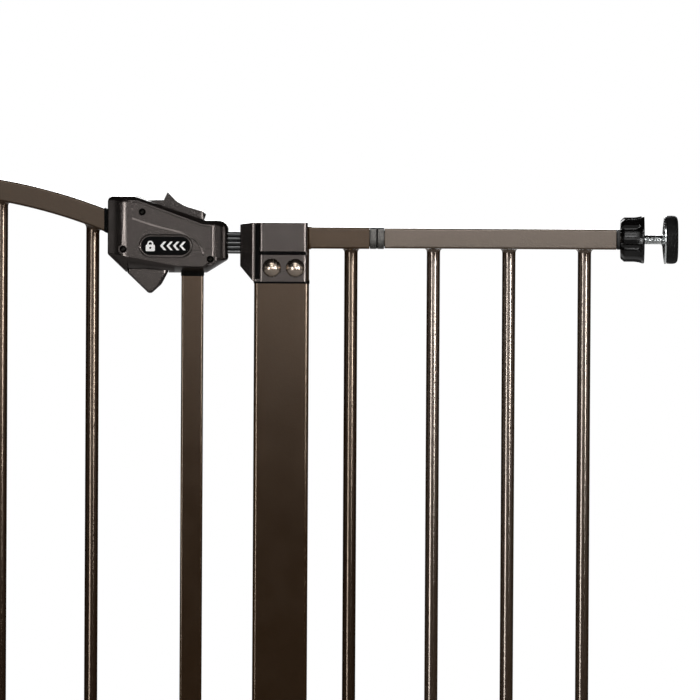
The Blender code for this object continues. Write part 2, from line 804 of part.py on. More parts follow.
def along_slope(distance, height):
    """A point over the housing's sloped top, measured along it and square to it."""
    run = Vector((SLOPE_END[0] - SLOPE_START[0], SLOPE_END[1] - SLOPE_START[1])).normalized()
    rise = Vector((-run.y, run.x))
    point = Vector(SLOPE_START) + run * distance + rise * height
    return point.x, RAIL_Z + point.y


def slope_prism(corners, half):
    return prism([[along_slope(*corner) for corner in corners]], -half, half, "XZ")


def make_housing(door):
    half = HOUSING_D / 2
    hollow = cutter("housing_hollow", housing_form(HOUSING_WALL))
    rib = box(
        (SPRING_REST_X - 2.2 * MM, MM - half, RAIL_Z + 5 * MM),
        (SPRING_REST_X - GAP, half - MM, RAIL_Z + 14 * MM),
    )
    bosses = [
        cylinder(BOSS_R, (x, -half + 2 * MM, RAIL_Z + z), (x, half - 2 * MM, RAIL_Z + z), 12)
        for x, z in SCREWS
    ]
    added = [cutter("housing_inside", mesh) for mesh in (rib, *bosses)]
    cuts = [cutter("housing_opening", mesh) for mesh in housing_openings()]
    for name, ends in (("front", (-half - 5 * MM, -GAP / 2)), ("back", (GAP / 2, half + 5 * MM))):
        shell = add(f"latch_housing_{name}", housing_form(0), door, "charcoal_plastic")
        keep = box((0, ends[0], RAIL_Z - 100 * MM), (300 * MM, ends[1], RAIL_Z + 100 * MM))
        combine(shell, "DIFFERENCE", [hollow])
        combine(shell, "UNION", added)
        combine(shell, "DIFFERENCE", cuts)
        combine(shell, "INTERSECT", [cutter(f"{name}_half", keep)])


def housing_openings():
    """Where rail, stile, trigger, bolt, thumb slide and screws pass the housing's walls."""
    rail_half = RAIL / 2 + GAP
    stile_half = STILE / 2 + GAP
    trigger_half = TRIGGER_D / 2 + 0.4 * MM
    bolt_half, bolt_rise = LATCH_BOLT_D / 2 + GAP, LATCH_BOLT_H / 2 + GAP
    middle = RAIL_Z + LATCH_Z
    thumb_half = THUMB_W / 2 + GAP
    slot = [
        (THUMB_START - THUMB_TRAVEL - 0.5 * MM, -4 * MM),
        (THUMB_END + 0.5 * MM, -4 * MM),
        (THUMB_END + 0.5 * MM, 9 * MM),
        (THUMB_START - THUMB_TRAVEL - 0.5 * MM, 9 * MM),
    ]
    openings = [
        prism([arch(rail_half, 150 * MM, ARCH_LATCH_X, 8)], -rail_half, rail_half, "XZ"),
        box(
            (STILE_X - stile_half, -stile_half, RAIL_Z - 60 * MM),
            (STILE_X + stile_half, stile_half, RAIL_Z - 20 * MM),
        ),
        box(
            (TRIGGER_X[0] - 0.8 * MM, -trigger_half, RAIL_Z - 60 * MM),
            (TRIGGER_X[1] + 0.6 * MM, trigger_half, RAIL_Z - 24 * MM),
        ),
        box((250 * MM, -bolt_half, middle - bolt_rise), (270 * MM, bolt_half, middle + bolt_rise)),
        slope_prism(slot, thumb_half),
    ]
    half = HOUSING_D / 2
    for x, z in SCREWS:
        hole = (x, -half - 5 * MM, RAIL_Z + z), (x, half - 4 * MM, RAIL_Z + z)
        recess = (x, -half - 5 * MM, RAIL_Z + z), (x, -half + SCREW_RECESS, RAIL_Z + z)
        openings.append(cylinder(SCREW_R + GAP, *hole, 12))
        openings.append(cylinder(SCREW_HEAD_R + GAP, *recess, 16))
    return openings


def make_screws(door):
    """The housing's three cross-head screws, sunk in their recesses."""
    head_y = HOUSING_D / 2 - SCREW_RECESS + GAP  # under the head
    tip = HOUSING_D / 2 - 6 * MM
    length = head_y + tip
    profile = [
        (0, length + 2.2 * MM),
        (SCREW_HEAD_R * 0.7, length + 2.0 * MM),
        (SCREW_HEAD_R, length + 1.0 * MM),
        (SCREW_HEAD_R, length),
        (SCREW_R, length),
        (SCREW_R, 0),
        (0, 0),
    ]
    for i, (x, z) in enumerate(SCREWS, 1):
        mesh = turned(profile, (x, tip, RAIL_Z + z), (0, -1, 0), 14)
        add(f"housing_screw_{i}", mesh, door, "black_zinc", True)


def make_thumb_slide():
    """A thumb rest with an upright fin, kept in its slot by a flange under the housing's wall."""
    origin = along_slope(THUMB_START, 0)
    body = new_body("thumb_slide_joint", (origin[0], 0, origin[1]))
    profile = [
        (THUMB_START, 0),
        (THUMB_START + 15.2 * MM, 5.2 * MM),
        (THUMB_START + 16.2 * MM, 12.0 * MM),
        (THUMB_START + 20 * MM, 10.1 * MM),
        (THUMB_START + 25.2 * MM, 7.5 * MM),
        (THUMB_START + 33 * MM, 5.8 * MM),
        (THUMB_START + 41 * MM, 5.4 * MM),
        (THUMB_END - 2.4 * MM, 5.9 * MM),
        (THUMB_END, 4.2 * MM),
        (THUMB_END, -3.4 * MM),
        (THUMB_START, -3.4 * MM),
    ]
    flange = [
        (THUMB_START - 3 * MM, -4.6 * MM),
        (THUMB_END - 4 * MM, -4.6 * MM),
        (THUMB_END - 4 * MM, -2.8 * MM),
        (THUMB_START - 3 * MM, -2.8 * MM),
    ]
    mesh = slope_prism(profile, THUMB_W / 2)
    slide = add("thumb_slide", mesh, body, "charcoal_plastic")
    combine(slide, "UNION", [cutter("thumb_flange", slope_prism(flange, THUMB_W / 2 + 2.2 * MM))])


def make_trigger():
    """A finger trigger under the housing. Its two upright plates pass beside the door's rail
    and carry slanted slots, so that pulling it up draws the bolt back by the same distance."""
    body = new_body("trigger_joint", (195 * MM, 0, RAIL_Z - 30 * MM))
    blade = rounded(
        [
            (TRIGGER_X[0], RAIL_Z + TRIGGER_TOP, 0),
            (TRIGGER_X[0], RAIL_Z - 29.6 * MM, 0),
            (197.3 * MM, RAIL_Z - 47.2 * MM, 3.4 * MM),
            (206.6 * MM, RAIL_Z - 38.6 * MM, 7 * MM),
            (TRIGGER_X[1], RAIL_Z - 28.6 * MM, 0),
            (TRIGGER_X[1], RAIL_Z + TRIGGER_TOP, 0),
        ],
        0,
        4,
    )
    outer = TRIGGER_D / 2
    trigger = add("trigger", prism([blade], -outer, outer, "XZ"), body, "charcoal_plastic")
    low = (BOLT_PIN_X - BOLT_TRAVEL, RAIL_Z + LATCH_Z - BOLT_TRAVEL)
    high = (BOLT_PIN_X + BOLT_TRAVEL, RAIL_Z + LATCH_Z + BOLT_TRAVEL)
    leg = [
        (188 * MM, RAIL_Z - 27 * MM),
        (210 * MM, RAIL_Z - 27 * MM),
        (211.6 * MM, RAIL_Z - 19 * MM),
        (206 * MM, RAIL_Z - 9 * MM),
        (196 * MM, RAIL_Z - 14 * MM),
    ]
    slot = stadium(low, high, BOLT_PIN_R + 0.25 * MM)
    strap = stadium(low, high, BOLT_PIN_R + 2.4 * MM)
    inner = outer - TRIGGER_PLATE
    plates = []
    for side in (-1, 1):
        ends = sorted((side * inner, side * outer))
        plates += [cutter("trigger_leg", prism([loop], *ends, "XZ")) for loop in (leg, strap)]
    combine(trigger, "UNION", plates)
    combine(trigger, "DIFFERENCE", [cutter("trigger_slot", prism([slot], -15 * MM, 15 * MM, "XZ"))])


def stadium(start, end, radius):
    """A slot's outline: two half circles and the straight lines between them."""
    along = Vector(end) - Vector(start)
    heading = math.atan2(along.y, along.x)
    points = []
    for centre, first in ((start, heading + math.pi / 2), (end, heading - math.pi / 2)):
        for k in range(7):
            angle = first + math.pi * k / 6
            points.append(
                (centre[0] + radius * math.cos(angle), centre[1] + radius * math.sin(angle))
            )
    return points


def make_latch_bolt():
    """The bolt, with its spring lug on top and its cross pin through the rear."""
    body = new_body("latch_bolt_joint", (LATCH_BOLT_TIP, 0, RAIL_Z + LATCH_Z))
    middle, rise = RAIL_Z + LATCH_Z, LATCH_BOLT_H / 2
    lug_top = RAIL_Z + SPRING_Z + 2.2 * MM
    outline = rounded(
        [
            (LATCH_BOLT_REAR, middle - rise, 1 * MM),
            (LATCH_BOLT_TIP, middle - rise, 1 * MM),
            (LATCH_BOLT_TIP, middle + rise, 1 * MM),
            (SPRING_LUG_X + 3.4 * MM, middle + rise, 0),
            (SPRING_LUG_X + 3.4 * MM, lug_top, 1 * MM),
            (SPRING_LUG_X + GAP, lug_top, 1 * MM),
            (SPRING_LUG_X + GAP, middle + rise, 0),
            (LATCH_BOLT_REAR, middle + rise, 1 * MM),
        ],
        0,
        2,
    )
    half = LATCH_BOLT_D / 2
    bolt = add("latch_bolt", prism([outline], -half, half, "XZ"), body, "bolt_grey")
    reach = 20 * MM
    hole = cylinder(BOLT_PIN_R + GAP, (BOLT_PIN_X, -reach, middle), (BOLT_PIN_X, reach, middle), 12)
    combine(bolt, "DIFFERENCE", [cutter("bolt_pin_hole", hole)])
    end = TRIGGER_D / 2
    pin = cylinder(BOLT_PIN_R, (BOLT_PIN_X, -end, middle), (BOLT_PIN_X, end, middle), 12)
    add("bolt_pin", pin, body, "zinc", True)


def make_bolt_spring(door):
    """The coil between the housing's rib and the bolt's lug."""
    curve = bpy.data.curves.new("coil", "CURVE")
    curve.dimensions = "3D"
    curve.bevel_depth = SPRING_WIRE_R
    curve.bevel_resolution = 2
    curve.use_fill_caps = True
    start = SPRING_REST_X + SPRING_WIRE_R
    length = SPRING_LUG_X - SPRING_REST_X - 2 * SPRING_WIRE_R
    steps = SPRING_COILS * 10
    spline = curve.splines.new("POLY")
    spline.points.add(steps)
    for k, point in enumerate(spline.points):
        angle = 2 * math.pi * SPRING_COILS * k / steps
        x = start + length * k / steps
        y = SPRING_R * math.cos(angle)
        z = RAIL_Z + SPRING_Z + SPRING_R * math.sin(angle)
        point.co = (x, y, z, 1)
    guide = bpy.data.objects.new("coil", curve)
    add("bolt_spring", as_mesh(guide, Matrix.Identity(4)), door, "spring_steel", True)


def main():
    frame = new_body("frame_joint")
    make_posts(frame)
    make_side_panels(frame)
    make_extension(frame)
    make_caps(frame)
    make_cap_bolts(frame)
    make_hinge(frame)
    make_spindles(frame)
    door = new_body("door_joint", (-STILE_X, 0, 0))
    make_door(door)
    make_housing(door)
    make_screws(door)
    make_thumb_slide()
    make_trigger()
    make_latch_bolt()
    make_bolt_spring(door)


main()
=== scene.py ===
"""The safety gate's looks: painted tubes, moulded latch and caps, fixings, light and camera.

Metres, in the frame's own axes: +X runs along the gate to the latch and the extension, -Y is
the front and +Z is up. Places come from the frame, and a piece's own shape is stated here.
"""

import json
import math

import bmesh
import bpy
from mathutils import Matrix, Vector, noise


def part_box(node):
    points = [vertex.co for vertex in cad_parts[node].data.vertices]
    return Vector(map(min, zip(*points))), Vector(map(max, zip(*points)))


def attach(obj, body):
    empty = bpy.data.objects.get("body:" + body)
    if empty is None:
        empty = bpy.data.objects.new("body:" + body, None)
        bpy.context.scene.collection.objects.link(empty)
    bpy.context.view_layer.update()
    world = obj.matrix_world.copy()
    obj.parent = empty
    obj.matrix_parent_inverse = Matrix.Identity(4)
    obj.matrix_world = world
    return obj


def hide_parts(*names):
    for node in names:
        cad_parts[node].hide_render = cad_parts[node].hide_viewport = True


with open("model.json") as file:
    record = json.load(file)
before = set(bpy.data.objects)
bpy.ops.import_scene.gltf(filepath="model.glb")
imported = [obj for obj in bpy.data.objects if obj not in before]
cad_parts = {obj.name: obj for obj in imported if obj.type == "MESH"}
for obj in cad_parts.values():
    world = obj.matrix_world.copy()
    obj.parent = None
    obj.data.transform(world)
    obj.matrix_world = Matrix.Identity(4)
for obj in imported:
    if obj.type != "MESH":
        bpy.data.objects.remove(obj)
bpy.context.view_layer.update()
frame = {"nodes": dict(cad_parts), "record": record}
RECORD = frame["record"]
BODY_OF = {node: body for body, nodes in RECORD["behaviour"]["bodies"].items() for node in nodes}
SLOT_OF = {row["node"]: row["material_slot"] for row in RECORD["subparts"]}
AXIS_OF = {joint["name"]: Vector(joint["axis"]) for joint in RECORD["behaviour"]["joints"]}

MM = 0.001

# ---- outlines ------------------------------------------------------------------------------

AXES = {
    "X": lambda u, v, w: Vector((w, u, v)),
    "Y": lambda u, v, w: Vector((u, w, v)),
    "Z": lambda u, v, w: Vector((u, v, w)),
}


def rounded(corners, radius=0.0, steps=6):
    """The outline through the corners, each turned into an arc, of its own radius if it has one."""
    points = []
    count = len(corners)
    for i, corner in enumerate(corners):
        here = Vector(corner[:2])
        size = corner[2] if len(corner) > 2 else radius
        before = (Vector(corners[i - 1][:2]) - here).normalized()
        after = (Vector(corners[(i + 1) % count][:2]) - here).normalized()
        if size == 0:
            points.append(tuple(here))
            continue
        half = before.angle(after) / 2
        centre = here + (before + after).normalized() * size / math.sin(half)
        start = here + before * size / math.tan(half) - centre
        end = here + after * size / math.tan(half) - centre
        turn = start.angle_signed(end)
        for k in range(steps + 1):
            arm = start.copy()
            arm.rotate(Matrix.Rotation(-turn * k / steps, 2))
            points.append(tuple(centre + arm))
    return points


def rectangle(width, depth, radius, centre=(0, 0), steps=6):
    u, v = centre
    corners = [
        (u - width / 2, v - depth / 2),
        (u + width / 2, v - depth / 2),
        (u + width / 2, v + depth / 2),
        (u - width / 2, v + depth / 2),
    ]
    return rounded(corners, radius, steps)


def circle(radius, centre=(0, 0), steps=32, phase=0.0):
    angles = [phase + 2 * math.pi * k / steps for k in range(steps)]
    return [(centre[0] + radius * math.cos(a), centre[1] + radius * math.sin(a)) for a in angles]


def stadium(centre, width, height, steps=16):
    """A slot's outline, lying level."""
    return rectangle(width, height, height / 2 * 0.999, centre, steps)


def curve_through(points, steps=6):
    """A smooth line through the points."""
    ends = [2 * Vector(points[0]) - Vector(points[1]), 2 * Vector(points[-1]) - Vector(points[-2])]
    known = [ends[0], *map(Vector, points), ends[1]]
    line = []
    for a, b, c, d in zip(known, known[1:], known[2:], known[3:]):
        for k in range(steps):
            t = k / steps
            line.append(
                0.5 * (2 * b + (c - a) * t + (2 * a - 5 * b + 4 * c - d) * t**2
                       + (3 * b - a - 3 * c + d) * t**3)
            )
    return [tuple(p) for p in line] + [tuple(points[-1])]


# ---- forms ---------------------------------------------------------------------------------


def loft(rings, closed=False):
    """Faces between rings of points. The ends are capped, or closed joins the last to the first."""
    form = bmesh.new()
    loops = [[form.verts.new(point) for point in ring] for ring in rings]
    pairs = list(zip(loops, loops[1:]))
    if closed:
        pairs.append((loops[-1], loops[0]))
    count = len(loops[0])
    for near, far in pairs:
        for i in range(count):
            j = (i + 1) % count
            form.faces.new((near[i], near[j], far[j], far[i]))
    if not closed:
        form.faces.new(loops[0][::-1])
        form.faces.new(loops[-1])
    bmesh.ops.recalc_face_normals(form, faces=form.faces)
    return form


def prism(outline, near, far, axis):
    return loft([[AXES[axis](u, v, w) for u, v in outline] for w in (near, far)])


def box(low, high):
    outline = [(low[0], low[1]), (high[0], low[1]), (high[0], high[1]), (low[0], high[1])]
    return prism(outline, low[2], high[2], "Z")


def in_mm(pairs):
    """Pairs given in millimetres, as metres."""
    return [(first * MM, second * MM) for first, second in pairs]


def turned(profile, origin, direction, steps=40, closed=False):
    """A profile of (radius, distance) turned about a line through the origin."""
    turn = Vector(direction).to_track_quat("Z", "Y").to_matrix().to_4x4()
    place = Matrix.Translation(origin) @ turn
    rings = []
    for radius, distance in profile:
        rings.append([place @ Vector((u, v, distance)) for u, v in circle(radius, (0, 0), steps)])
    return loft(rings, closed)


def temporary(form, name):
    """An object for a modifier to work on, which the caller removes."""
    mesh = bpy.data.meshes.new(name)
    form.to_mesh(mesh)
    form.free()
    thing = bpy.data.objects.new(name, mesh)
    bpy.context.scene.collection.objects.link(thing)
    return thing


def evaluated(thing, helpers=()):
    bpy.context.view_layer.update()
    form = bmesh.new()
    form.from_object(thing, bpy.context.evaluated_depsgraph_get())
    for item in (thing, *helpers):
        mesh = item.data
        bpy.data.objects.remove(item)
        bpy.data.meshes.remove(mesh)
    return form


def carved(form, *steps):
    """The form after Boolean steps, each an operation and its tools."""
    base = temporary(form, "base")
    helpers = []
    for operation, tools in steps:
        for tool in tools:
            helper = temporary(tool, "tool")
            modifier = base.modifiers.new("Cut", "BOOLEAN")
            modifier.operation = operation
            modifier.object = helper
            helpers.append(helper)
    result = evaluated(base, helpers)
    bmesh.ops.remove_doubles(result, verts=result.verts, dist=0.00001)
    return result


def softened(form, width, segments=3, angle=40):
    """The form with its sharp edges rounded."""
    base = temporary(form, "sharp")
    bevel = base.modifiers.new("Round", "BEVEL")
    bevel.width = width
    bevel.segments = segments
    bevel.limit_method = "ANGLE"
    bevel.angle_limit = math.radians(angle)
    bevel.miter_outer = "MITER_ARC"
    bevel.harden_normals = False
    return evaluated(base)


def joined(*forms):
    """Forms that don't touch, as one."""
    whole = bmesh.new()
    for form in forms:
        mesh = bpy.data.meshes.new("part")
        form.to_mesh(mesh)
        form.free()
        whole.from_mesh(mesh)
        bpy.data.meshes.remove(mesh)
    return whole


# ---- materials -----------------------------------------------------------------------------


def feed(tree, node, values):
    """Sets inputs of a node: each to a value, or linked from another node's output."""
    for name, value in values.items():
        socket = node.inputs[name]
        if isinstance(value, bpy.types.NodeSocket):
            tree.links.new(value, socket)
        else:
            socket.default_value = (*value, 1) if socket.type == "RGBA" else value


def add_node(tree, kind, values=None):
    node = tree.nodes.new(f"ShaderNode{kind}")
    feed(tree, node, values or {})
    return node


def material_of(name, roughness, metallic=0.0, shine=0.5, tint=(1, 1, 1)):
    """A new material, with its node tree and its shader."""
    material = bpy.data.materials.new(name)
    material.use_nodes = True
    tree = material.node_tree
    shader = tree.nodes["Principled BSDF"]
    values = {"Roughness": roughness, "Metallic": metallic}
    feed(tree, shader, {**values, "Specular IOR Level": shine, "Specular Tint": tint})
    return material, tree, shader


def grain(tree, scale, detail=2.0, stretch=(1, 1, 1)):
    """Noise in the object's own space."""
    place = add_node(tree, "TexCoord").outputs["Object"]
    mapped = add_node(tree, "Mapping", {"Vector": place, "Scale": stretch}).outputs["Vector"]
    values = {"Vector": mapped, "Scale": scale, "Detail": detail}
    return add_node(tree, "TexNoise", values).outputs["Fac"]


def toned(tree, factor, stops):
    """Two colour stops, as (position, colour), read by a factor."""
    ramp = add_node(tree, "ValToRGB", {"Fac": factor})
    for element, (position, color) in zip(ramp.color_ramp.elements, stops):
        element.position = position
        element.color = (*color, 1)
    return ramp.outputs["Color"]


def spread(tree, value, before, after):
    """A value's range mapped to another range."""
    values = {"Value": value, "From Min": before[0], "From Max": before[1]}
    values.update({"To Min": after[0], "To Max": after[1]})
    return add_node(tree, "MapRange", values).outputs["Result"]


def ranged(tree, factor, low, high):
    """Noise around 0.5 spread between two values."""
    return spread(tree, factor, (0.3, 0.7), (low, high))


def edges_worn(tree, low, high):
    """From 0 on a face to 1 on an outer edge."""
    shape = add_node(tree, "NewGeometry").outputs["Pointiness"]
    return spread(tree, shape, (low, high), (0.0, 1.0))


def blended(tree, factor, first, second, mode="MIX"):
    """Two colours mixed by a factor."""
    mix = add_node(tree, "Mix")
    mix.data_type = "RGBA"
    mix.blend_type = mode
    feed(tree, mix, {"Factor": factor, "A": first, "B": second})
    return mix.outputs["Result"]


def bumped(tree, layers):
    """Bumps on top of each other, each a height, a strength and a depth."""
    below = {}
    for height, strength, depth in layers:
        values = {"Height": height, "Strength": strength, "Distance": depth}
        bump = add_node(tree, "Bump", {**values, **below})
        below = {"Normal": bump.outputs["Normal"]}
    return below["Normal"]


def finished(material, tree, shader, color, roughness, layers):
    """The material with its colour, its roughness and its bumps."""
    bumps = bumped(tree, layers)
    feed(tree, shader, {"Base Color": color, "Roughness": roughness, "Normal": bumps})
    return material


def powder_coat(name, dark, light, edge, shine=0.5, tint=(1.0, 0.79, 0.62)):
    """Satin metallic powder coat: orange peel, fine flake, and paint a little thin on edges."""
    made = material_of(name, 0.17, 0.0, shine, tint)
    tree = made[1]
    cloud = toned(tree, grain(tree, 9, 3), [(0.3, dark), (0.7, light)])
    flake = toned(tree, grain(tree, 2600, 1), [(0.42, (0.82,) * 3), (0.62, (1.12,) * 3)])
    base = blended(tree, 1.0, cloud, flake, "MULTIPLY")
    color = blended(tree, edges_worn(tree, 0.53, 0.64), base, edge)
    roughness = ranged(tree, grain(tree, 45, 3), 0.15, 0.20)
    peel, speck = grain(tree, 620, 1), grain(tree, 2400, 1)
    return finished(*made, color, roughness, [(peel, 0.35, 0.00012), (speck, 0.12, 0.00004)])


def moulded_plastic(name, dark, light, roughness, shine=0.5, tint=(1, 1, 1)):
    """Injection-moulded nylon: a fine spark-eroded grain, faint flow clouds, polished edges."""
    made = material_of(name, roughness, 0.0, shine, tint)
    tree = made[1]
    tone = toned(tree, grain(tree, 38, 4, (1, 1, 1.6)), [(0.32, dark), (0.68, light)])
    edge = tuple(channel * 1.5 for channel in light)
    color = blended(tree, edges_worn(tree, 0.54, 0.72), tone, edge)
    dull = ranged(tree, grain(tree, 90, 3), roughness - 0.03, roughness + 0.04)
    texture, sink = grain(tree, 1400, 2), grain(tree, 120, 2)
    return finished(*made, color, dull, [(sink, 0.12, 0.00015), (texture, 0.3, 0.00005)])


def plated(name, dark, light, low, high):
    """A plated metal with fine machining lines and slightly uneven lustre."""
    made = material_of(name, 0.2, 1.0)
    tree = made[1]
    color = toned(tree, grain(tree, 70, 4), [(0.3, dark), (0.7, light)])
    lines = grain(tree, 900, 3)
    return finished(*made, color, ranged(tree, lines, low, high), [(lines, 0.08, 0.00003)])


def rubber(name, dark, light, shine):
    """Black rubber with a dusty bloom and a sanded grain."""
    made = material_of(name, 0.7, 0.0, shine)
    tree = made[1]
    bloom, pits = grain(tree, 120, 5), grain(tree, 1500, 3)
    color = toned(tree, bloom, [(0.35, (dark,) * 3), (0.75, (light,) * 3)])
    return finished(*made, color, ranged(tree, bloom, 0.55, 0.78), [(pits, 0.4, 0.00008)])


def enamel(name, dark, light, roughness, shine=0.5, glow=0.0):
    """Printed or inlaid gloss, with a trace of dust. A glow, which is painted light, keeps print
    bright in dim light.
    """
    made = material_of(name, roughness, 0.0, shine)
    tree, shader = made[1:]
    dust = grain(tree, 600, 4)
    tone = toned(tree, dust, [(0.4, dark), (0.75, light)])
    feed(tree, shader, {"Emission Color": tone, "Emission Strength": glow})
    dull = ranged(tree, dust, roughness * 0.8, roughness * 1.4)
    return finished(*made, tone, dull, [(dust, 0.05, 0.00003)])


def painted_floor(name):
    made = material_of(name, 0.85)
    tree = made[1]
    pale, paler = (0.62, 0.62, 0.615), (0.66, 0.66, 0.655)
    color = toned(tree, grain(tree, 1.5, 4), [(0.3, pale), (0.7, paler)])
    return finished(*made, color, 0.85, [(grain(tree, 260, 2), 0.05, 0.0002)])


MATERIALS = {
    "bronze_paint": powder_coat(
        "bronze_paint", (0.032, 0.0160, 0.0070), (0.040, 0.0205, 0.0095), (0.08, 0.040, 0.016)
    ),
    # Lighter than the bronze: partly a lighter paint and partly painted light, its colour raised to
    # stand in for the brighter light on the extension.
    "extension_paint": powder_coat(
        "extension_paint", (0.060, 0.036, 0.020), (0.074, 0.046, 0.028), (0.10, 0.068, 0.044),
        1.0, (1.0, 0.86, 0.75),
    ),
    "charcoal_plastic": moulded_plastic(
        "charcoal_plastic", (0.010, 0.008, 0.007), (0.014, 0.011, 0.010), 0.21, 0.52,
        (1.0, 0.88, 0.82),
    ),
    "black_plastic": moulded_plastic(
        "black_plastic", (0.003, 0.0026, 0.0025), (0.005, 0.0043, 0.004), 0.20, 0.34
    ),
    "dome_bolt": plated("dome_bolt", (0.29, 0.235, 0.19), (0.37, 0.305, 0.25), 0.20, 0.28),
    "bolt_grey": moulded_plastic(
        "bolt_grey", (0.020, 0.021, 0.020), (0.030, 0.031, 0.030), 0.14, 1.0
    ),
    "zinc": plated("zinc", (0.60, 0.62, 0.62), (0.72, 0.74, 0.74), 0.14, 0.26),
    "steel": plated("steel", (0.36, 0.36, 0.37), (0.46, 0.46, 0.47), 0.22, 0.36),
    "screw_black": plated("screw_black", (0.006, 0.006, 0.005), (0.012, 0.011, 0.010), 0.14, 0.22),
    "rubber": rubber("rubber", 0.004, 0.012, 0.15),
}
# Near-black rubber: painted shade in the cap's groove and recess, and the cap's painted shadow on
# the post; it also colours the sleeves and the coupler's gaskets.
SEAM_AND_SHADE_BLACK = rubber("seam_and_shade_black", 0.0006, 0.0016, 0.03)
SLIDE_DARK = moulded_plastic(
    "slide_dark", (0.010, 0.008, 0.007), (0.014, 0.011, 0.010), 0.24, 0.38, (1.0, 0.9, 0.85)
)
COUPLER_GREY = moulded_plastic(
    "coupler_grey", (0.012, 0.011, 0.010), (0.018, 0.016, 0.015), 0.20, 0.85, (1.0, 0.96, 0.90)
)
LABEL_BLACK = enamel("label_black", (0.0015, 0.0015, 0.0015), (0.003, 0.003, 0.003), 0.10, 0.03)
# The print's white glows a little: painted light, so that it reads white in the dim studio.
LABEL_WHITE = enamel("label_white", (0.80, 0.79, 0.77), (0.86, 0.85, 0.83), 0.45, 0.5, 0.55)


# ---- pieces --------------------------------------------------------------------------------


def piece(name, form, body, slot, material=None, nodes=(), sharp=34, weighted=False):
    """A finished piece, already in place, that rides on a body and may stand for CAD nodes."""
    mesh = bpy.data.meshes.new(name)
    form.to_mesh(mesh)
    form.free()
    mesh.shade_smooth()
    mesh.set_sharp_from_angle(angle=math.radians(sharp))
    mesh.materials.append(material or MATERIALS[slot])
    thing = bpy.data.objects.new(name, mesh)
    bpy.context.scene.collection.objects.link(thing)
    if weighted:
        normals = thing.modifiers.new("Even shading", "WEIGHTED_NORMAL")
        normals.keep_sharp = True
    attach(thing, body)
    if nodes:
        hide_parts(*nodes)
    return thing


def stand_in(node, form, **options):
    """A piece that replaces one CAD node, with the node's own body and slot."""
    return piece(f"fine_{node}", form, BODY_OF[node], SLOT_OF[node], nodes=[node], **options)


def box_of(node):
    low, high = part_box(node)
    return low, high, (low + high) / 2


# ---- painted tubes -------------------------------------------------------------------------

# How far the skin stands out at each distance from a tube's end
WELD = [(0.0, 1.5), (0.5, 0.9), (1.1, 0.42), (2.0, 0.12), (3.0, 0.0)]
TRIM = [(0.0, -0.35), (0.35, 0.0)]
TUBE_WALL = 1.2 * MM
BAR_WALL = 0.9 * MM
RIPPLE = 0.35


def stations(near, far, ends):
    """Places along a tube, and how far its skin stands out at each."""
    start = [(near + d * MM, grow * MM) for d, grow in ends[0]]
    finish = [(far - d * MM, grow * MM) for d, grow in reversed(ends[1])]
    return start + finish


def tube(section, inside, places, place, curved=False):
    """A hollow tube: section(grow) is its outline, inside its bore, place(u, v, w) a point."""
    plain = section(0.0)
    rings = []
    for w, grow in places:
        ring = []
        for (u, v), (wide_u, wide_v) in zip(plain, section(abs(grow))):
            here = place(u, v, w)
            share = 1.0 if grow > 0 else -1.0
            if grow > 0:
                share += RIPPLE * noise.noise(here * 420)
            ring.append(place(u + (wide_u - u) * share, v + (wide_v - v) * share, w))
        rings.append(ring)
    back = [w for w, _ in reversed(places)]
    for w in back if curved else (back[0], back[-1]):
        rings.append([place(u, v, w) for u, v in inside])
    return loft(rings, closed=True)


def square_tube(node, axis, ends, radius):
    """A rectangular tube that fills a node's box along an axis."""
    low, high, centre = box_of(node)
    across = {"X": (1, 2), "Z": (0, 1)}[axis]
    along = {"X": 0, "Z": 2}[axis]
    width, depth = [high[i] - low[i] for i in across]
    middle = [centre[i] for i in across]

    def section(grow):
        return rectangle(width + 2 * grow, depth + 2 * grow, radius + grow, middle)

    bore_corner = max(radius - TUBE_WALL, 0.4 * MM)
    inside = rectangle(width - 2 * TUBE_WALL, depth - 2 * TUBE_WALL, bore_corner, middle)
    places = stations(low[along], high[along], ends)

    def place(u, v, w):
        point = AXES[axis](u, v, w)
        point.z = max(point.z, 0.0)
        return point

    stand_in(node, tube(section, inside, places, place), weighted=True)


POST_CORNER = 3.0 * MM
RAIL_CORNER = 1.7 * MM
SLIP = 0.12 * MM  # the play of a sleeve on its tube
EASED = 0.3 * MM  # how far a sleeve's edge is rounded off

for side in ("left", "right"):
    square_tube(f"post_{side}", "Z", (TRIM, TRIM), POST_CORNER)
    for level, joint in (("top", TRIM), ("bottom", WELD)):
        ends = (joint, TRIM) if side == "right" else (TRIM, joint)
        square_tube(f"side_{level}_rail_{side}", "X", ends, RAIL_CORNER)
for level in ("top", "bottom"):
    square_tube(f"extension_{level}_rail", "X", (TRIM, TRIM), RAIL_CORNER)
square_tube("threshold_rail", "X", (WELD, WELD), POST_CORNER)
square_tube("door_bottom_rail", "X", (WELD, WELD), RAIL_CORNER)
for side in ("latch", "hinge"):
    square_tube(f"door_stile_{side}", "Z", (TRIM, TRIM), RAIL_CORNER)

# The arched rail: its circle goes through the CAD rail's crown and its low end at the hinge
arch_low, arch_high, _ = box_of("door_top_rail")
RAIL_HALF = (arch_high.y - arch_low.y) / 2
ARCH_RADIUS = 439.5 * MM
ARCH_CENTRE_Z = arch_high.z - RAIL_HALF - ARCH_RADIUS


def arch_height(x, offset=0.0):
    """The height over x of the line that lies offset outside the arch's centre line."""
    return ARCH_CENTRE_Z + math.sqrt((ARCH_RADIUS + offset) ** 2 - x**2)


def along_arch(u, v, w):
    """A point over w on the arch, u across and v outwards from its centre line."""
    return Vector((w, u, arch_height(w, v)))


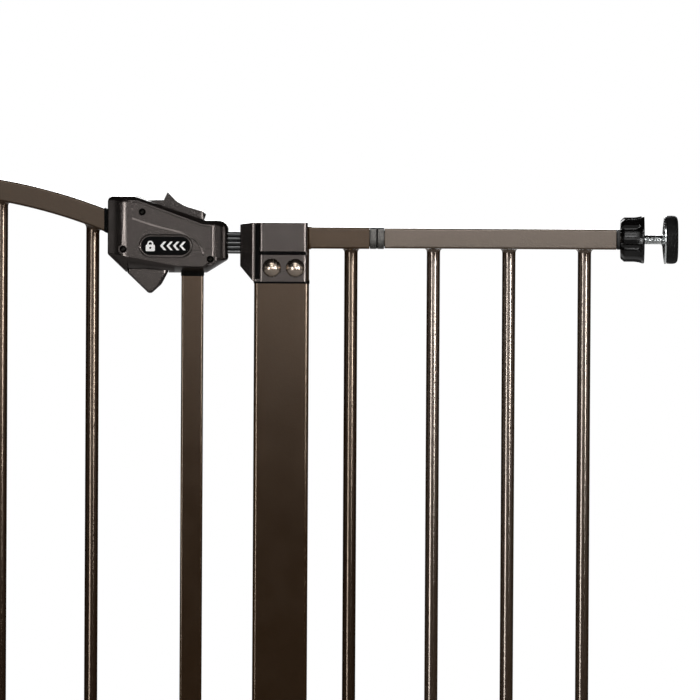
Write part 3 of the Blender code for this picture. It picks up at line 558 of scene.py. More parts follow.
def make_arch():
    size = 2 * RAIL_HALF
    inner = size - 2 * TUBE_WALL

    def section(grow):
        return rectangle(size + 2 * grow, size + 2 * grow, RAIL_CORNER + grow)

    ends = stations(arch_low.x, arch_high.x, (WELD, TRIM))
    steps = 72
    first, last = ends[len(WELD) - 1][0], ends[len(WELD)][0]
    between = [(first + (last - first) * k / steps, 0.0) for k in range(1, steps)]
    places = ends[: len(WELD)] + between + ends[len(WELD):]
    inside = rectangle(inner, inner, 0.6 * MM)
    return tube(section, inside, places, along_arch, curved=True)


stand_in("door_top_rail", make_arch(), weighted=True)


def round_bar(node, under_arch=False):
    """A round bar with a weld's fillet at both ends; its top may follow the arch's underside."""
    low, high, centre = box_of(node)
    radius = (high.y - low.y) / 2
    top = arch_height(centre.x, -RAIL_HALF) if under_arch else high.z
    bend = 12 * MM

    def place(u, v, w):
        z = w
        if under_arch and w > top - bend:
            share = (w - (top - bend)) / bend
            z += (arch_height(u, -RAIL_HALF) - top) * share
        return Vector((u, v, z))

    def section(grow):
        return circle(radius + grow, (centre.x, centre.y), 36)

    inside = circle(radius - BAR_WALL, (centre.x, centre.y), 36)
    places = stations(low.z, top, (WELD, WELD))
    places.insert(len(WELD), (top - bend, 0.0))
    stand_in(node, tube(section, inside, places, place))


for number in range(1, 6):
    round_bar(f"door_bar_{number}", under_arch=True)
for number in range(1, 4):
    round_bar(f"extension_bar_{number}")
for side in ("left", "right"):
    round_bar(f"side_bar_{side}")

# ---- the extension's couplers and the rails' end bushings ----------------------------------

COLLAR = 5.5 * MM
COLLAR_CORNER = 2.4 * MM


def square_stack(stack, centre, corner=COLLAR_CORNER):
    """A solid of square sections along X: each step is a place and a half width."""
    rings = []
    for x, half in stack:
        outline = rectangle(2 * half, 2 * half, min(corner, half * 0.4), centre)
        rings.append([AXES["X"](u, v, x) for u, v in outline])
    return loft(rings)


def sleeve(name, body, place, places, sizes, corners, centre=(0, 0), paint=("rubber", SEAM_AND_SHADE_BLACK)):
    """A square sleeve round a tube. Sizes and corner radii are its outside's and its bore's."""
    outside, bore = sizes

    def section(grow):
        return rectangle(outside + 2 * grow, outside + 2 * grow, corners[0] + grow, centre)

    form = tube(section, rectangle(bore, bore, corners[1], centre), places, place)
    piece(name, form, body, *paint)


def coupler(node):
    """Two collars with a neck between, and a spigot into each rail."""
    low, high, centre = box_of(node)
    rail_low, rail_high, _ = box_of("side_top_rail_right")
    next_low, next_high, _ = box_of("extension_top_rail")
    middle = (centre.y, centre.z)
    left, right = rail_high.x + 0.3 * MM, next_low.x - 0.3 * MM
    wide = (rail_high.z - rail_low.z) / 2
    slim = (next_high.z - next_low.z) / 2
    plug, small_plug = wide - 1.8 * MM, slim - 1.8 * MM
    neck, chamfer = 6.9 * MM, 0.4 * MM
    stack = [
        (low.x, plug - chamfer),
        (low.x + chamfer, plug),
        (left, plug),
        (left, wide - chamfer),
        (left + chamfer, wide),
        (left + COLLAR - chamfer, wide),
        (left + COLLAR, wide - chamfer),
        (left + COLLAR, neck),
        (right - COLLAR, neck),
        (right - COLLAR, wide - chamfer),
        (right - COLLAR + chamfer, wide),
        (right - chamfer, wide),
        (right, wide - chamfer),
        (right, small_plug),
        (high.x - chamfer, small_plug),
        (high.x, small_plug - chamfer),
    ]
    stand_in(node, square_stack(stack, middle), material=COUPLER_GREY)
    ends = [(left + COLLAR + 0.02 * MM, 0.0), (right - COLLAR - 0.02 * MM, 0.0)]
    sizes = (2 * (wide - 0.5 * MM), 2 * (neck + 0.1 * MM))
    sleeve(f"{node}_gasket", "frame", AXES["X"], ends, sizes, (1.2 * MM, 0.5 * MM), middle)


for level in ("top", "bottom"):
    coupler(f"extension_coupler_{level}")

CORNERS = [("top", "right", 1), ("bottom", "right", 1), ("top", "left", -1), ("bottom", "left", -1)]


def bushing(node, rod, rail, side):
    """A flanged plug in a rail's end, bored for the rod."""
    low, high, _ = box_of(node)
    centre = box_of(rod)[2]
    rail_low, rail_high, _ = box_of(rail)
    end = high.x if side > 0 else -low.x
    start = (rail_high.x if side > 0 else -rail_low.x) + 0.3 * MM
    half = (rail_high.z - rail_low.z) / 2
    plug, chamfer = half - 1.9 * MM, 0.45 * MM
    depth = high.x - low.x
    bore = 4.3 * MM
    stack = [
        (end - depth, plug - chamfer),
        (end - depth + chamfer, plug),
        (start, plug),
        (start, half - chamfer),
        (start + chamfer, half),
        (end - chamfer, half),
        (end, half - chamfer),
    ]
    rings = []
    for x, size in stack:
        outline = rectangle(2 * size, 2 * size, min(COLLAR_CORNER, size * 0.4), (0, 0), 8)
        rings.append([Vector((side * x, u, centre.z + v)) for u, v in outline])
    outline = rectangle(2 * half, 2 * half, COLLAR_CORNER, (0, 0), 8)
    hole = [Vector(point).normalized() * bore for point in outline]
    for x in (end, end - depth):
        rings.append([Vector((side * x, arm.x, centre.z + arm.y)) for arm in hole])
    stand_in(node, loft(rings, closed=True))


# ---- the wall spindles ---------------------------------------------------------------------

LOBES = 7
LOBE_TILT = math.radians(5.8)
THREAD_PITCH = 1.25 * MM
THREAD_DEPTH = 0.34 * MM


def knob(node, side):
    """A hand nut: seven lobes between flutes, which flare into a full rim at the wall side."""
    low, high, centre = box_of(node)
    start = low.x if side > 0 else -high.x
    length = high.x - low.x
    rim, lobe, flute = 19.6 * MM, 18.3 * MM, 2.6 * MM
    bore, hub, recess = 4.3 * MM, 8.0 * MM, 1.2 * MM
    # distance, radius, how deep the flutes are, how round the section is
    profile = [
        (0.0, hub + 3.0 * MM, 0.3, 0.0),
        (0.0, lobe - 3.0 * MM, 0.7, 0.0),
        (0.35 * MM, lobe - 2.3 * MM, 0.9, 0.0),
        (2.3 * MM, lobe - 0.5 * MM, 1.0, 0.0),
        (3.0 * MM, lobe, 1.0, 0.0),
        (length * 0.55, lobe, 1.0, 0.0),
        (length * 0.68, lobe + 0.25 * MM, 1.0, 0.02),
        (length * 0.78, lobe + 0.55 * MM, 1.0, 0.12),
        (length * 0.86, rim - 0.35 * MM, 1.0, 0.45),
        (length * 0.90, rim - 0.1 * MM, 1.0, 0.85),
        (length * 0.93, rim, 0.0, 1.0),
        (length * 0.975, rim, 0.0, 1.0),
        (length, rim - 0.6 * MM, 0.0, 1.0),
        (length, rim - 3.2 * MM, 0.0, 1.0),
        (length - recess, rim - 4.0 * MM, 0.0, 1.0),
        (length - recess, hub + 0.6 * MM, 0.0, 1.0),
        (length - 0.3 * MM, hub, 0.0, 1.0),
        (length, hub - 0.4 * MM, 0.0, 1.0),
        (length, bore, 0.0, 1.0),
        (0.0, bore, 0.0, 1.0),
        (0.0, hub, 0.0, 1.0),
    ]
    steps = LOBES * 26
    rings = []
    for distance, radius, deep, roundness in profile:
        ring = []
        for k in range(steps):
            angle = 2 * math.pi * k / steps
            wave = math.cos(LOBES * (angle - LOBE_TILT))
            valley = max(0.0, (-wave - 0.42) / 0.58)
            dip = flute * deep * (1 - roundness) * math.sin(valley * math.pi / 2)
            crown = 0.25 * MM * (1 - roundness) * deep * (1 - abs(wave))
            reach = radius - dip - crown
            across, up = -reach * math.cos(angle), reach * math.sin(angle)
            ring.append(Vector((side * (start + distance), across, centre.z + up)))
        rings.append(ring)
    stand_in(node, loft(rings, closed=True), sharp=28)


def threaded_rod(node, side):
    """A rolled thread along the rod, and the dished plate welded to its end."""
    low, high, centre = box_of(node)
    inner, outer = (low.x, high.x) if side > 0 else (-high.x, -low.x)
    radius, plate = 3.9 * MM, 3.0 * MM
    face = outer - plate
    per_turn, steps = 6, 24
    count = int((face - 1.5 * MM - inner) / THREAD_PITCH * per_turn)
    rings = []

    def ring(x, reach, twist=False):
        points = []
        for k in range(steps):
            angle = 2 * math.pi * k / steps
            dip = 0.0
            if twist:
                phase = ((x - inner) / THREAD_PITCH - k / steps) % 1.0
                dip = THREAD_DEPTH * abs(2 * phase - 1) ** 1.2
            arm = reach - dip
            across, up = arm * math.cos(angle), arm * math.sin(angle)
            points.append(Vector((side * x, across, centre.z + up)))
        return points

    rings.append(ring(inner, radius - 1.0 * MM))
    for k in range(1, count + 1):
        rings.append(ring(inner + k * THREAD_PITCH / per_turn, radius, True))
    for distance, reach in (
        (-1.2, 3.9), (-0.7, 4.3), (-0.2, 5.2), (0.0, 7.2), (0.3, 10.5), (0.8, 15.0),
        (1.25, 18.4), (1.45, 19.5), (1.75, 19.8), (2.8, 19.8), (3.0, 19.6),
    ):
        rings.append(ring(face + distance * MM, reach * MM))
    stand_in(node, loft(rings))


def wall_pad(node, side):
    """A bulged rubber disc with two grip rings in its flat face."""
    low, high, centre = box_of(node)
    start = low.x if side > 0 else -high.x
    profile = [
        (8.0, 0.0), (17.5, 0.0), (19.3, 0.10), (19.6, 0.4), (19.72, 2.0), (19.8, 3.6),
        (19.76, 5.0), (19.6, 6.4), (19.1, 7.7), (18.2, 8.6), (17.0, 9.1), (15.2, 9.4),
        (13.6, 9.4), (13.3, 8.9), (12.5, 8.9), (12.2, 9.4),
        (9.2, 9.4), (8.9, 8.9), (8.1, 8.9), (7.8, 9.4), (1.0, 9.4),
    ]
    form = turned(in_mm(profile), (side * start, 0, centre.z), (side, 0, 0), 64)
    stand_in(node, form, sharp=40)


for level, side_word, side in CORNERS:
    corner = f"{level}_{side_word}"
    if side > 0:
        rail_node = f"extension_{level}_rail"
    else:
        rail_node = f"side_{level}_rail_left"
    bushing(f"end_bushing_{corner}", f"rod_{corner}", rail_node, side)
    knob(f"knob_{corner}", side)
    threaded_rod(f"rod_{corner}", side)
    wall_pad(f"wall_pad_{corner}", side)

# ---- post caps -----------------------------------------------------------------------------

rail_low, rail_high, rail_centre = box_of("side_top_rail_right")
RAIL_Z = rail_centre.z
cap_low, cap_high, _ = box_of("latch_post_cap")
post_low, post_high, post_centre = box_of("post_right")
CAP_HALF = cap_high.y
NOSE_X = cap_low.x
NOSE_FOOT = -23.3 * MM
CAP_RIGHT = cap_high.x
CAP_TOP = cap_high.z - RAIL_Z
CAP_BOTTOM = cap_low.z - RAIL_Z
RECESS = (283.7 * MM, 286.3 * MM)
RECESS_Y = 11.7 * MM
PIN_BORE = 4.3 * MM


def cap_front_edge():
    """The cap's front edge seen from above, from the recess beside the nose to the right side."""
    y = -CAP_HALF
    return [
        (RECESS[0], y, 0.5 * MM),
        (RECESS[0] + 0.15 * MM, -RECESS_Y, 0.3 * MM),
        (RECESS[1] - 0.15 * MM, -RECESS_Y, 0.3 * MM),
        (RECESS[1], y + 0.9 * MM, 0.3 * MM),
        (RECESS[1] + 2.6 * MM, y, 4.5 * MM),
        (CAP_RIGHT - 1.9 * MM, y, 3.5 * MM),
        (CAP_RIGHT, y + 1.7 * MM, 1.4 * MM),
    ]


def mirrored_plan(front):
    """The plan's front half and its mirror image behind."""
    return front + [(x, -y, *r) for x, y, *r in reversed(front)]


def cap(node, front, lead, silhouette, side, extra=()):
    """A cap: its plan, its outline from the front, then hollow, groove, bolt holes and sockets."""
    plan = rounded(mirrored_plan(lead + front), 0, 5)
    outline = rounded(silhouette, 0, 5)
    if side < 0:
        plan = [(-x, y) for x, y in plan]
        outline = [(-x, z) for x, z in outline]
    reach = 60 * MM
    body = carved(
        prism(plan, RAIL_Z - reach, RAIL_Z + reach, "Z"),
        ("INTERSECT", [prism([(x, RAIL_Z + z) for x, z in outline], -reach, reach, "Y")]),
    )
    body = softened(body, 1.1 * MM, 4, 50)
    inner = post_low.x - 0.3 * MM
    half = post_high.y + 0.3 * MM
    ends = sorted((side * inner, side * (CAP_RIGHT + 20 * MM)))
    cuts = [
        box((ends[0], -half, RAIL_Z - reach), (ends[1], half, RAIL_Z + CAP_TOP - 3 * MM)),
    ]
    groove_low, groove_high = RAIL_Z - 14.0 * MM, RAIL_Z - 10.9 * MM
    ends = sorted((side * (RECESS[1] - 0.6 * MM), side * (CAP_RIGHT + 5 * MM)))
    for face in (-1, 1):
        depths = sorted((face * (CAP_HALF - 1.5 * MM), face * (CAP_HALF + 5 * MM)))
        cuts.append(box((ends[0], depths[0], groove_low), (ends[1], depths[1], groove_high)))
    for x, z in bolt_places(side):
        cuts.append(prism(circle(3.3 * MM, (x, z), 24), -reach, reach, "Y"))
    cuts += extra
    body = carved(body, ("DIFFERENCE", cuts))
    stand_in(node, softened(body, 0.3 * MM, 2, 45), weighted=True)


def bolt_places(side):
    """The centres of the two bolts through one cap."""
    end = "latch" if side > 0 else "hinge"
    centres = [box_of(f"{end}_cap_bolt_{i}")[2] for i in (1, 2)]
    return [(centre.x, centre.z) for centre in centres]


def cap_seam_shade(word, side):
    """Painted shade in black: strips in the cap's groove and in the recess beside the nose, and a
    band round the post under the cap as its painted shadow; and a weld round the rail.
    """
    # Near-black strips in the groove and in the recess beside the nose: painted shade.
    strips = []
    for face in (-1, 1):
        for across, up, depth in (
            (
                (RECESS[1] - 0.3 * MM, CAP_RIGHT - 1.5 * MM),
                (-14.2 * MM, -10.7 * MM),
                CAP_HALF - 0.8 * MM,
            ),
            (
                (RECESS[0] - 0.4 * MM, RECESS[1] + 0.4 * MM),
                (CAP_BOTTOM + 2 * MM, CAP_TOP - 1.2 * MM),
                RECESS_Y + 2.6 * MM,
            ),
        ):
            xs = sorted(side * x for x in across)
            ys = sorted((face * depth, face * (depth - 2.4 * MM)))
            strips.append(box((xs[0], ys[0], RAIL_Z + up[0]), (xs[1], ys[1], RAIL_Z + up[1])))
    piece(f"{word}_cap_seam_shade", joined(*strips), "frame", "rubber", SEAM_AND_SHADE_BLACK)
    # A near-black band round the post just under the cap: the cap's painted shadow.
    width, depth = post_high.x - post_low.x, 2 * post_high.y
    centre = (side * post_centre.x, 0)
    foot = RAIL_Z + CAP_BOTTOM

    def section(grow):
        return rectangle(width + 2 * grow, depth + 2 * grow, POST_CORNER + grow, centre)

    form = tube(
        lambda grow: section(0.4 * MM + grow),
        section(0.15 * MM),
        [(foot - 1.7 * MM, 0.0), (foot + 0.6 * MM, 0.0)],
        AXES["Z"],
    )
    piece(f"{word}_cap_foot_shadow", form, "frame", "rubber", SEAM_AND_SHADE_BLACK)
    half = (rail_high.z - rail_low.z) / 2
    ends = [(side * (post_high.x + distance * MM), 0.0) for distance in (0.05, 1.5)]
    sizes = (2 * (half + 0.5 * MM), 2 * (half + SLIP))
    corners = (RAIL_CORNER, RAIL_CORNER)
    paint = ("bronze_paint", None)
    sleeve(f"{word}_rail_seal", "frame", AXES["X"], ends, sizes, corners, (0, RAIL_Z), paint)


def make_caps():
    nose = [
        (NOSE_X, -8.2 * MM, 2.5 * MM),
        (NOSE_X + 10.6 * MM, -CAP_HALF, 6.0 * MM),
    ]
    bottom = [(RECESS[0] - 2.1 * MM, CAP_BOTTOM, 1.2 * MM), (CAP_RIGHT, CAP_BOTTOM, 0.6 * MM)]
    top = [(CAP_RIGHT, CAP_TOP, 0.8 * MM), (RECESS[0] - 2.1 * MM, CAP_TOP, 3 * MM)]
    silhouette = [
        (NOSE_X, NOSE_FOOT, 1.5 * MM), *bottom, *top, (NOSE_X, CAP_TOP - 1.5 * MM, 1.5 * MM)
    ]
    rise, half = 9.8 * MM, 6.8 * MM
    middle = RAIL_Z - 4.4 * MM
    socket = box(
        (NOSE_X - 5 * MM, -half, middle - rise), (NOSE_X + 9.2 * MM, half, middle + rise)
    )
    cap("latch_post_cap", cap_front_edge(), nose, silhouette, 1, [socket])

    stile_centre = box_of("door_stile_hinge")[2]
    tip = -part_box("hinge_post_cap")[1].x
    arm = [
        (tip, -11 * MM, 10.4 * MM),
        (-stile_centre.x + 22 * MM, -11 * MM, 6 * MM),
        (RECESS[0] - 6 * MM, -CAP_HALF, 4 * MM),
    ]
    arm_bottom = CAP_TOP - 12 * MM
    silhouette = [
        (tip, arm_bottom, 1 * MM),
        (NOSE_X, arm_bottom, 3 * MM),
        (NOSE_X, NOSE_FOOT, 2 * MM),
        *bottom,
        (CAP_RIGHT, CAP_TOP, 0.8 * MM),
        (tip, CAP_TOP, 1 * MM),
    ]
    hole = prism(circle(PIN_BORE, (stile_centre.x, 0), 24), RAIL_Z - 5 * MM, RAIL_Z + 30 * MM, "Z")
    cap("hinge_post_cap", cap_front_edge(), arm, silhouette, -1, [hole])


make_caps()
cap_seam_shade("latch", 1)
cap_seam_shade("hinge", -1)


def dome_bolt(node):
    """A carriage bolt: polished dome, and a shank with a rolled end."""
    low, high, centre = box_of(node)
    radius, height = 7.6 * MM, 4.4 * MM
    under = low.y + height
    sphere = (radius**2 + height**2) / (2 * height)
    full = math.asin(radius / sphere)
    length, shank = high.y - under, 3.0 * MM
    profile = [
        (shank - 0.4 * MM, 0.0), (shank, 0.4 * MM), (shank, length - 0.2 * MM),
        (radius - 0.5 * MM, length),
    ]
    for k in range(15):
        angle = full * (1 - k / 15.5)
        reach = sphere * math.sin(angle)
        rise = sphere * (math.cos(angle) - math.cos(full))
        profile.append((reach, length + 0.25 * MM + rise * 0.94))
    form = turned(profile, (centre.x, high.y, centre.z), (0, -1, 0), 48)
    stand_in(node, form, sharp=50)


def nut_and_washer(name, x, z):
    """The flange nut behind the cap, with chamfered corners."""
    start, seat, end = CAP_HALF, CAP_HALF + 0.9 * MM, CAP_HALF + 4.1 * MM
    rim = in_mm([(3.2, 0.0), (7.2, 0.0), (7.4, 0.2), (7.2, 0.9), (3.2, 0.9)])
    washer = turned(rim, (x, start, z), (0, 1, 0), 32, True)
    hexagon = prism(circle(5.6 * MM, (x, z), 6, math.radians(11)), seat, end, "Y")
    chamfers = in_mm([(4.1, 0.0), (5.6, 0.9), (5.6, 2.4), (4.6, 3.2)])
    ball = turned(chamfers, (x, seat, z), (0, 1, 0), 32)
    hole = prism(circle(3.05 * MM, (x, z), 24), start, start + 8 * MM, "Y")
    nut = carved(hexagon, ("INTERSECT", [ball]), ("DIFFERENCE", [hole]))
    piece(name, joined(washer, nut), "frame", "zinc", sharp=30)


for side, word in ((1, "latch"), (-1, "hinge")):
    for i, (bolt_x, bolt_z) in enumerate(bolt_places(side), 1):
        dome_bolt(f"{word}_cap_bolt_{i}")
        nut_and_washer(f"{word}_cap_nut_{i}", bolt_x, bolt_z)

# ---- the latch housing ---------------------------------------------------------------------

HALF_DEPTH = 18 * MM
SHELL = 2.4 * MM
SEAM = 0.15 * MM

# Outline of the housing where its halves meet, and of its flat face: x, height over the rail's
# middle, corner radius. The same corners in the same order, lower left first.
MIDDLE = [
    (162.4, -14.1, 3.0), (178.0, -29.0, 1.0), (217.7, -29.2, 12.0), (243.8, -29.0, 3.0),
    (261.2, -18.1, 3.0), (261.2, 14.0, 7.5), (243.1, 14.0, 4.0), (184.6, 33.4, 6.0),
    (162.4, 33.4, 4.5),
]
FACE = [
    (182.0, -16.0, 1.0), (183.6, -16.7, 2.0), (217.7, -23.0, 10.0), (240.6, -23.6, 4.0),
    (248.2, -18.0, 3.0), (248.2, 9.6, 1.2), (240.6, 10.4, 6.0), (187.4, 29.7, 3.0),
    (182.0, 29.7, 1.6),
]
# Each side's way from the seam to the face: share of the way in, depth
WAYS = {
    "left": [
        (0, 0.15), (0, 5.0), (0, 9.8), (0.04, 10.9), (0.30, 14.0), (0.45, 15.6), (0.575, 16.72),
        (0.70, 17.42), (0.80, 17.80), (0.90, 17.97), (1, 18),
    ],
    "right": [
        (0, 0.15), (0, 5.0), (0.05, 7.6), (0.15, 9.9), (0.30, 12.1), (0.50, 14.4), (0.66, 15.9),
        (0.78, 16.75), (0.88, 17.35), (0.95, 17.75), (1, 18),
    ],
    "top": [
        (0, 0.15), (0, 6.0), (0, 10.5), (0.02, 12.0), (0.10, 13.2), (0.45, 15.6), (0.62, 16.75),
        (0.74, 17.35), (0.82, 17.65), (0.90, 17.87), (1, 18),
    ],
    "bottom": [
        (0, 0.15), (0, 3.5), (0.03, 6.0), (0.12, 8.6), (0.32, 11.8), (0.56, 14.6), (0.76, 16.5),
        (0.88, 17.4), (0.94, 17.75), (0.97, 17.92), (1, 18),
    ],
}
SIDES = ["left", "bottom", "bottom", "right", "right", "top", "top", "top", "left"]


def crossing(a, b, c, d):
    """Where the line through a and b meets the line through c and d."""
    first, second = b - a, d - c
    across = first.x * second.y - first.y * second.x
    share = ((c.x - a.x) * second.y - (c.y - a.y) * second.x) / across
    return a + first * share


def shrunk(corners, inset):
    """The outline moved inwards by the inset."""
    count = len(corners)
    lines = []
    for i, corner in enumerate(corners):
        here, after = Vector(corner[:2]), Vector(corners[(i + 1) % count][:2])
        run = (after - here).normalized()
        step = Vector((-run.y, run.x)) * inset
        lines.append((here + step, after + step))
    return [
        (*crossing(*lines[i - 1], *lines[i]), max(corners[i][2] - inset, 0.4)) for i in range(count)
    ]


def moulding_rings(middle, face, sides, ways, depth_scale, seam, steps=5):
    """Rings of (x, z, depth) from the seam to the face. Each side goes its own way in."""
    count = len(middle)
    rings = []
    for k in range(len(ways["left"])):
        lines = []
        for i in range(count):
            share = ways[sides[i]][k][0]
            ends = []
            for j in (i, (i + 1) % count):
                ends.append(Vector(middle[j][:2]).lerp(Vector(face[j][:2]), share))
            lines.append(ends)
        corners = []
        for i in range(count):
            share = (ways[sides[i - 1]][k][0] + ways[sides[i]][k][0]) / 2
            radius = middle[i][2] + (face[i][2] - middle[i][2]) * share
            corners.append((*crossing(*lines[i - 1], *lines[i]), radius))
        points = rounded(corners, 0, steps)
        ring = []
        for i in range(count):
            before, after = ways[sides[i - 1]][k][1], ways[sides[i]][k][1]
            for s in range(steps + 1):
                t = s / steps
                depth = (before + (after - before) * t * t * (3 - 2 * t)) * depth_scale
                x, z = points[i * (steps + 1) + s]
                ring.append((x, z, seam if k == 0 else depth))
        rings.append(ring)
    return rings


def moulding(rings, facing):
    """A solid from rings in millimetres, with z over the rail, on the front or the back."""
    return loft(
        [[Vector((x * MM, facing * y * MM, RAIL_Z + z * MM)) for x, z, y in ring] for ring in rings]
    )


def in_latch(corners):
    """Corners in millimetres, with heights over the rail's middle, as world x and z."""
    return [(c[0] * MM, RAIL_Z + c[1] * MM, *(r * MM for r in c[2:])) for c in corners]


SCREWS = [box_of(f"housing_screw_{i}")[2] for i in (1, 2, 3)]
LABEL_CENTRE = (210.1 * MM, RAIL_Z - 6.9 * MM)
LABEL_W, LABEL_H = 40.2 * MM, 15.2 * MM
SLOPE_AXIS = -AXIS_OF["thumb_slide_push"]
SLOPE_START = (184.1 * MM, RAIL_Z + 32.6 * MM)


def along_slope(distance, height):
    """A point over the sloped top, measured along it and square to it, in metres."""
    return (
        SLOPE_START[0] + SLOPE_AXIS.x * distance - SLOPE_AXIS.z * height,
        SLOPE_START[1] + SLOPE_AXIS.z * distance + SLOPE_AXIS.x * height,
    )


def on_slope(corners):
    return [(*along_slope(c[0] * MM, c[1] * MM), *(r * MM for r in c[2:])) for c in corners]


def arch_band(half, near, far, steps=20):
    points = []
    for offset, ends in ((half, (near, far)), (-half, (far, near))):
        for k in range(steps + 1):
            x = ends[0] + (ends[1] - ends[0]) * k / steps
            points.append((x, arch_height(x, offset)))
    return points


def housing_openings():
    """Where the rail, stile, trigger, bolt and thumb slide pass the housing's walls."""
    stile_low, stile_high, _ = box_of("door_stile_latch")
    ease = 0.3 * MM
    rail = RAIL_HALF + ease
    below = RAIL_Z - 24 * MM
    slot = on_slope([(1.0, -5.0), (60.5, -5.0), (60.5, 9.0), (1.0, 9.0)])
    return [
        prism(arch_band(rail, 150 * MM, 206 * MM), -rail, rail, "Y"),
        box(
            (stile_low.x - ease, stile_low.y - ease, below - 20 * MM),
            (stile_high.x + ease, stile_high.y + ease, below),
        ),
        box((178.5 * MM, -11.3 * MM, below - 20 * MM), (212.5 * MM, 11.3 * MM, below)),
        box(
            (250 * MM, -6.3 * MM, RAIL_Z - 13.7 * MM),
            (270 * MM, 6.3 * MM, RAIL_Z + 4.9 * MM),
        ),
        prism(slot, -7.3 * MM, 7.3 * MM, "Y"),
    ]


# The raised lower panel's upper border, which ends in the ridge round the lower right screw
SWEEP = [
    (182.6, 16.4), (186.0, 15.5), (191.5, 13.6), (199.0, 11.2), (210.0, 8.3), (221.9, 5.3),
    (229.5, 1.5), (235.0, -2.9), (238.4, -7.4), (240.2, -11.6), (241.0, -15.4),
]


def upper_panel():
    """The shallow recess above the sweep; its lower flank slopes gently, the others steeply."""
    border = curve_through(SWEEP[:9])
    rings = []
    for y, flank, edge in (
        (-30.0, 2.1, 0.50), (-18.03, 2.1, 0.50), (-17.95, 1.7, 0.38), (-17.66, 0.4, 0.10),
        (-17.58, 0.0, 0.0),
    ):
        low = []
        for i, here in enumerate(border):
            before, after = border[max(i - 1, 0)], border[min(i + 1, len(border) - 1)]
            run = (Vector(after) - Vector(before)).normalized()
            low.append((here[0] + run.y * flank, here[1] - run.x * flank))
        low[0] = (182.6 - edge, low[0][1])
        rest = [
            (242.4, -9.2 - edge), (246.9 + edge, -8.6 - edge), (246.9 + edge, 8.4 + edge),
            (240.3, 9.2 + edge), (186.8, 28.4 + edge), (182.6 - edge, 28.4 + edge),
        ]
        rings.append([Vector((x * MM, y * MM, RAIL_Z + z * MM)) for x, z in low + rest])
    return loft(rings)


def bead(points, width, height):
    """A rounded ridge along a line on the front face, tapering at both ends."""
    rings = []
    count = len(points)
    for i, here in enumerate(points):
        before, after = points[max(i - 1, 0)], points[min(i + 1, count - 1)]
        run = (Vector(after) - Vector(before)).normalized()
        across = Vector((-run.y, run.x))
        size = min(1.0, 0.25 + 0.25 * min(i, count - 1 - i))
        ring = []
        for k in range(10):
            angle = 2 * math.pi * k / 10
            out = Vector(here) + across * width / 2 * size * math.cos(angle)
            rise = height * size * math.sin(angle)
            ring.append(
                Vector((out.x * MM, -HALF_DEPTH + 0.1 * MM - rise * MM, RAIL_Z + out.y * MM))
            )
        rings.append(ring)
    return loft(rings)


def ring_bead(centre, radius, width, height, start, end):
    """A rounded ridge round part of a circle."""
    steps = 28
    points = []
    for k in range(steps + 1):
        angle = math.radians(start + (end - start) * k / steps)
        points.append(
            (centre.x / MM + radius * math.cos(angle),
             (centre.z - RAIL_Z) / MM + radius * math.sin(angle))
        )
    return bead(points, width, height)


def label_seat():
    """The sunk surround that the label sits in."""
    rings = []
    for grow, y in ((4.2, -30.0), (4.2, -18.1), (2.8, -17.4), (1.3, -17.0)):
        outline = stadium(LABEL_CENTRE, LABEL_W + grow * MM, LABEL_H + grow * MM)
        rings.append([AXES["Y"](u, v, y * MM) for u, v in outline])
    return loft(rings)


def make_housing():
    outer = moulding_rings(MIDDLE, FACE, SIDES, WAYS, 1.0, SEAM / MM)
    wall = SHELL / MM
    inner = moulding_rings(
        shrunk(MIDDLE, wall), shrunk(FACE, wall * 0.4), SIDES, WAYS, 1 - wall / 18, -1.0
    )
    for word, facing in (("front", -1), ("back", 1)):
        form = moulding(outer, facing)
        hollow = moulding(inner, facing)
        ends = sorted((facing * 0.3 * MM, facing * (HALF_DEPTH - MM)))
        bosses = [
            prism(circle(3.9 * MM, (centre.x, centre.z), 24), *ends, "Y") for centre in SCREWS
        ]
        cuts = housing_openings()
        for centre in SCREWS:
            cuts.append(prism(circle(1.8 * MM, (centre.x, centre.z), 16), -30 * MM, 14 * MM, "Y"))
            if facing < 0:
                cuts.append(
                    prism(circle(3.15 * MM, (centre.x, centre.z), 32), -30 * MM, -13.8 * MM, "Y")
                )
        if facing < 0:
            cuts += [label_seat(), upper_panel()]
        form = carved(
            form, ("DIFFERENCE", [hollow]), ("UNION", bosses), ("DIFFERENCE", cuts)
        )
        form = softened(form, 0.3 * MM, 2, 42)
        if facing < 0:
            corner = SCREWS[2]
            ridges = [
                bead(curve_through(SWEEP[6:]), 1.5, 0.42),
                ring_bead(corner, 4.7, 1.3, 0.4, 55, -170),
            ]
            form = joined(form, *ridges)
        stand_in(f"latch_housing_{word}", form, weighted=True)


make_housing()


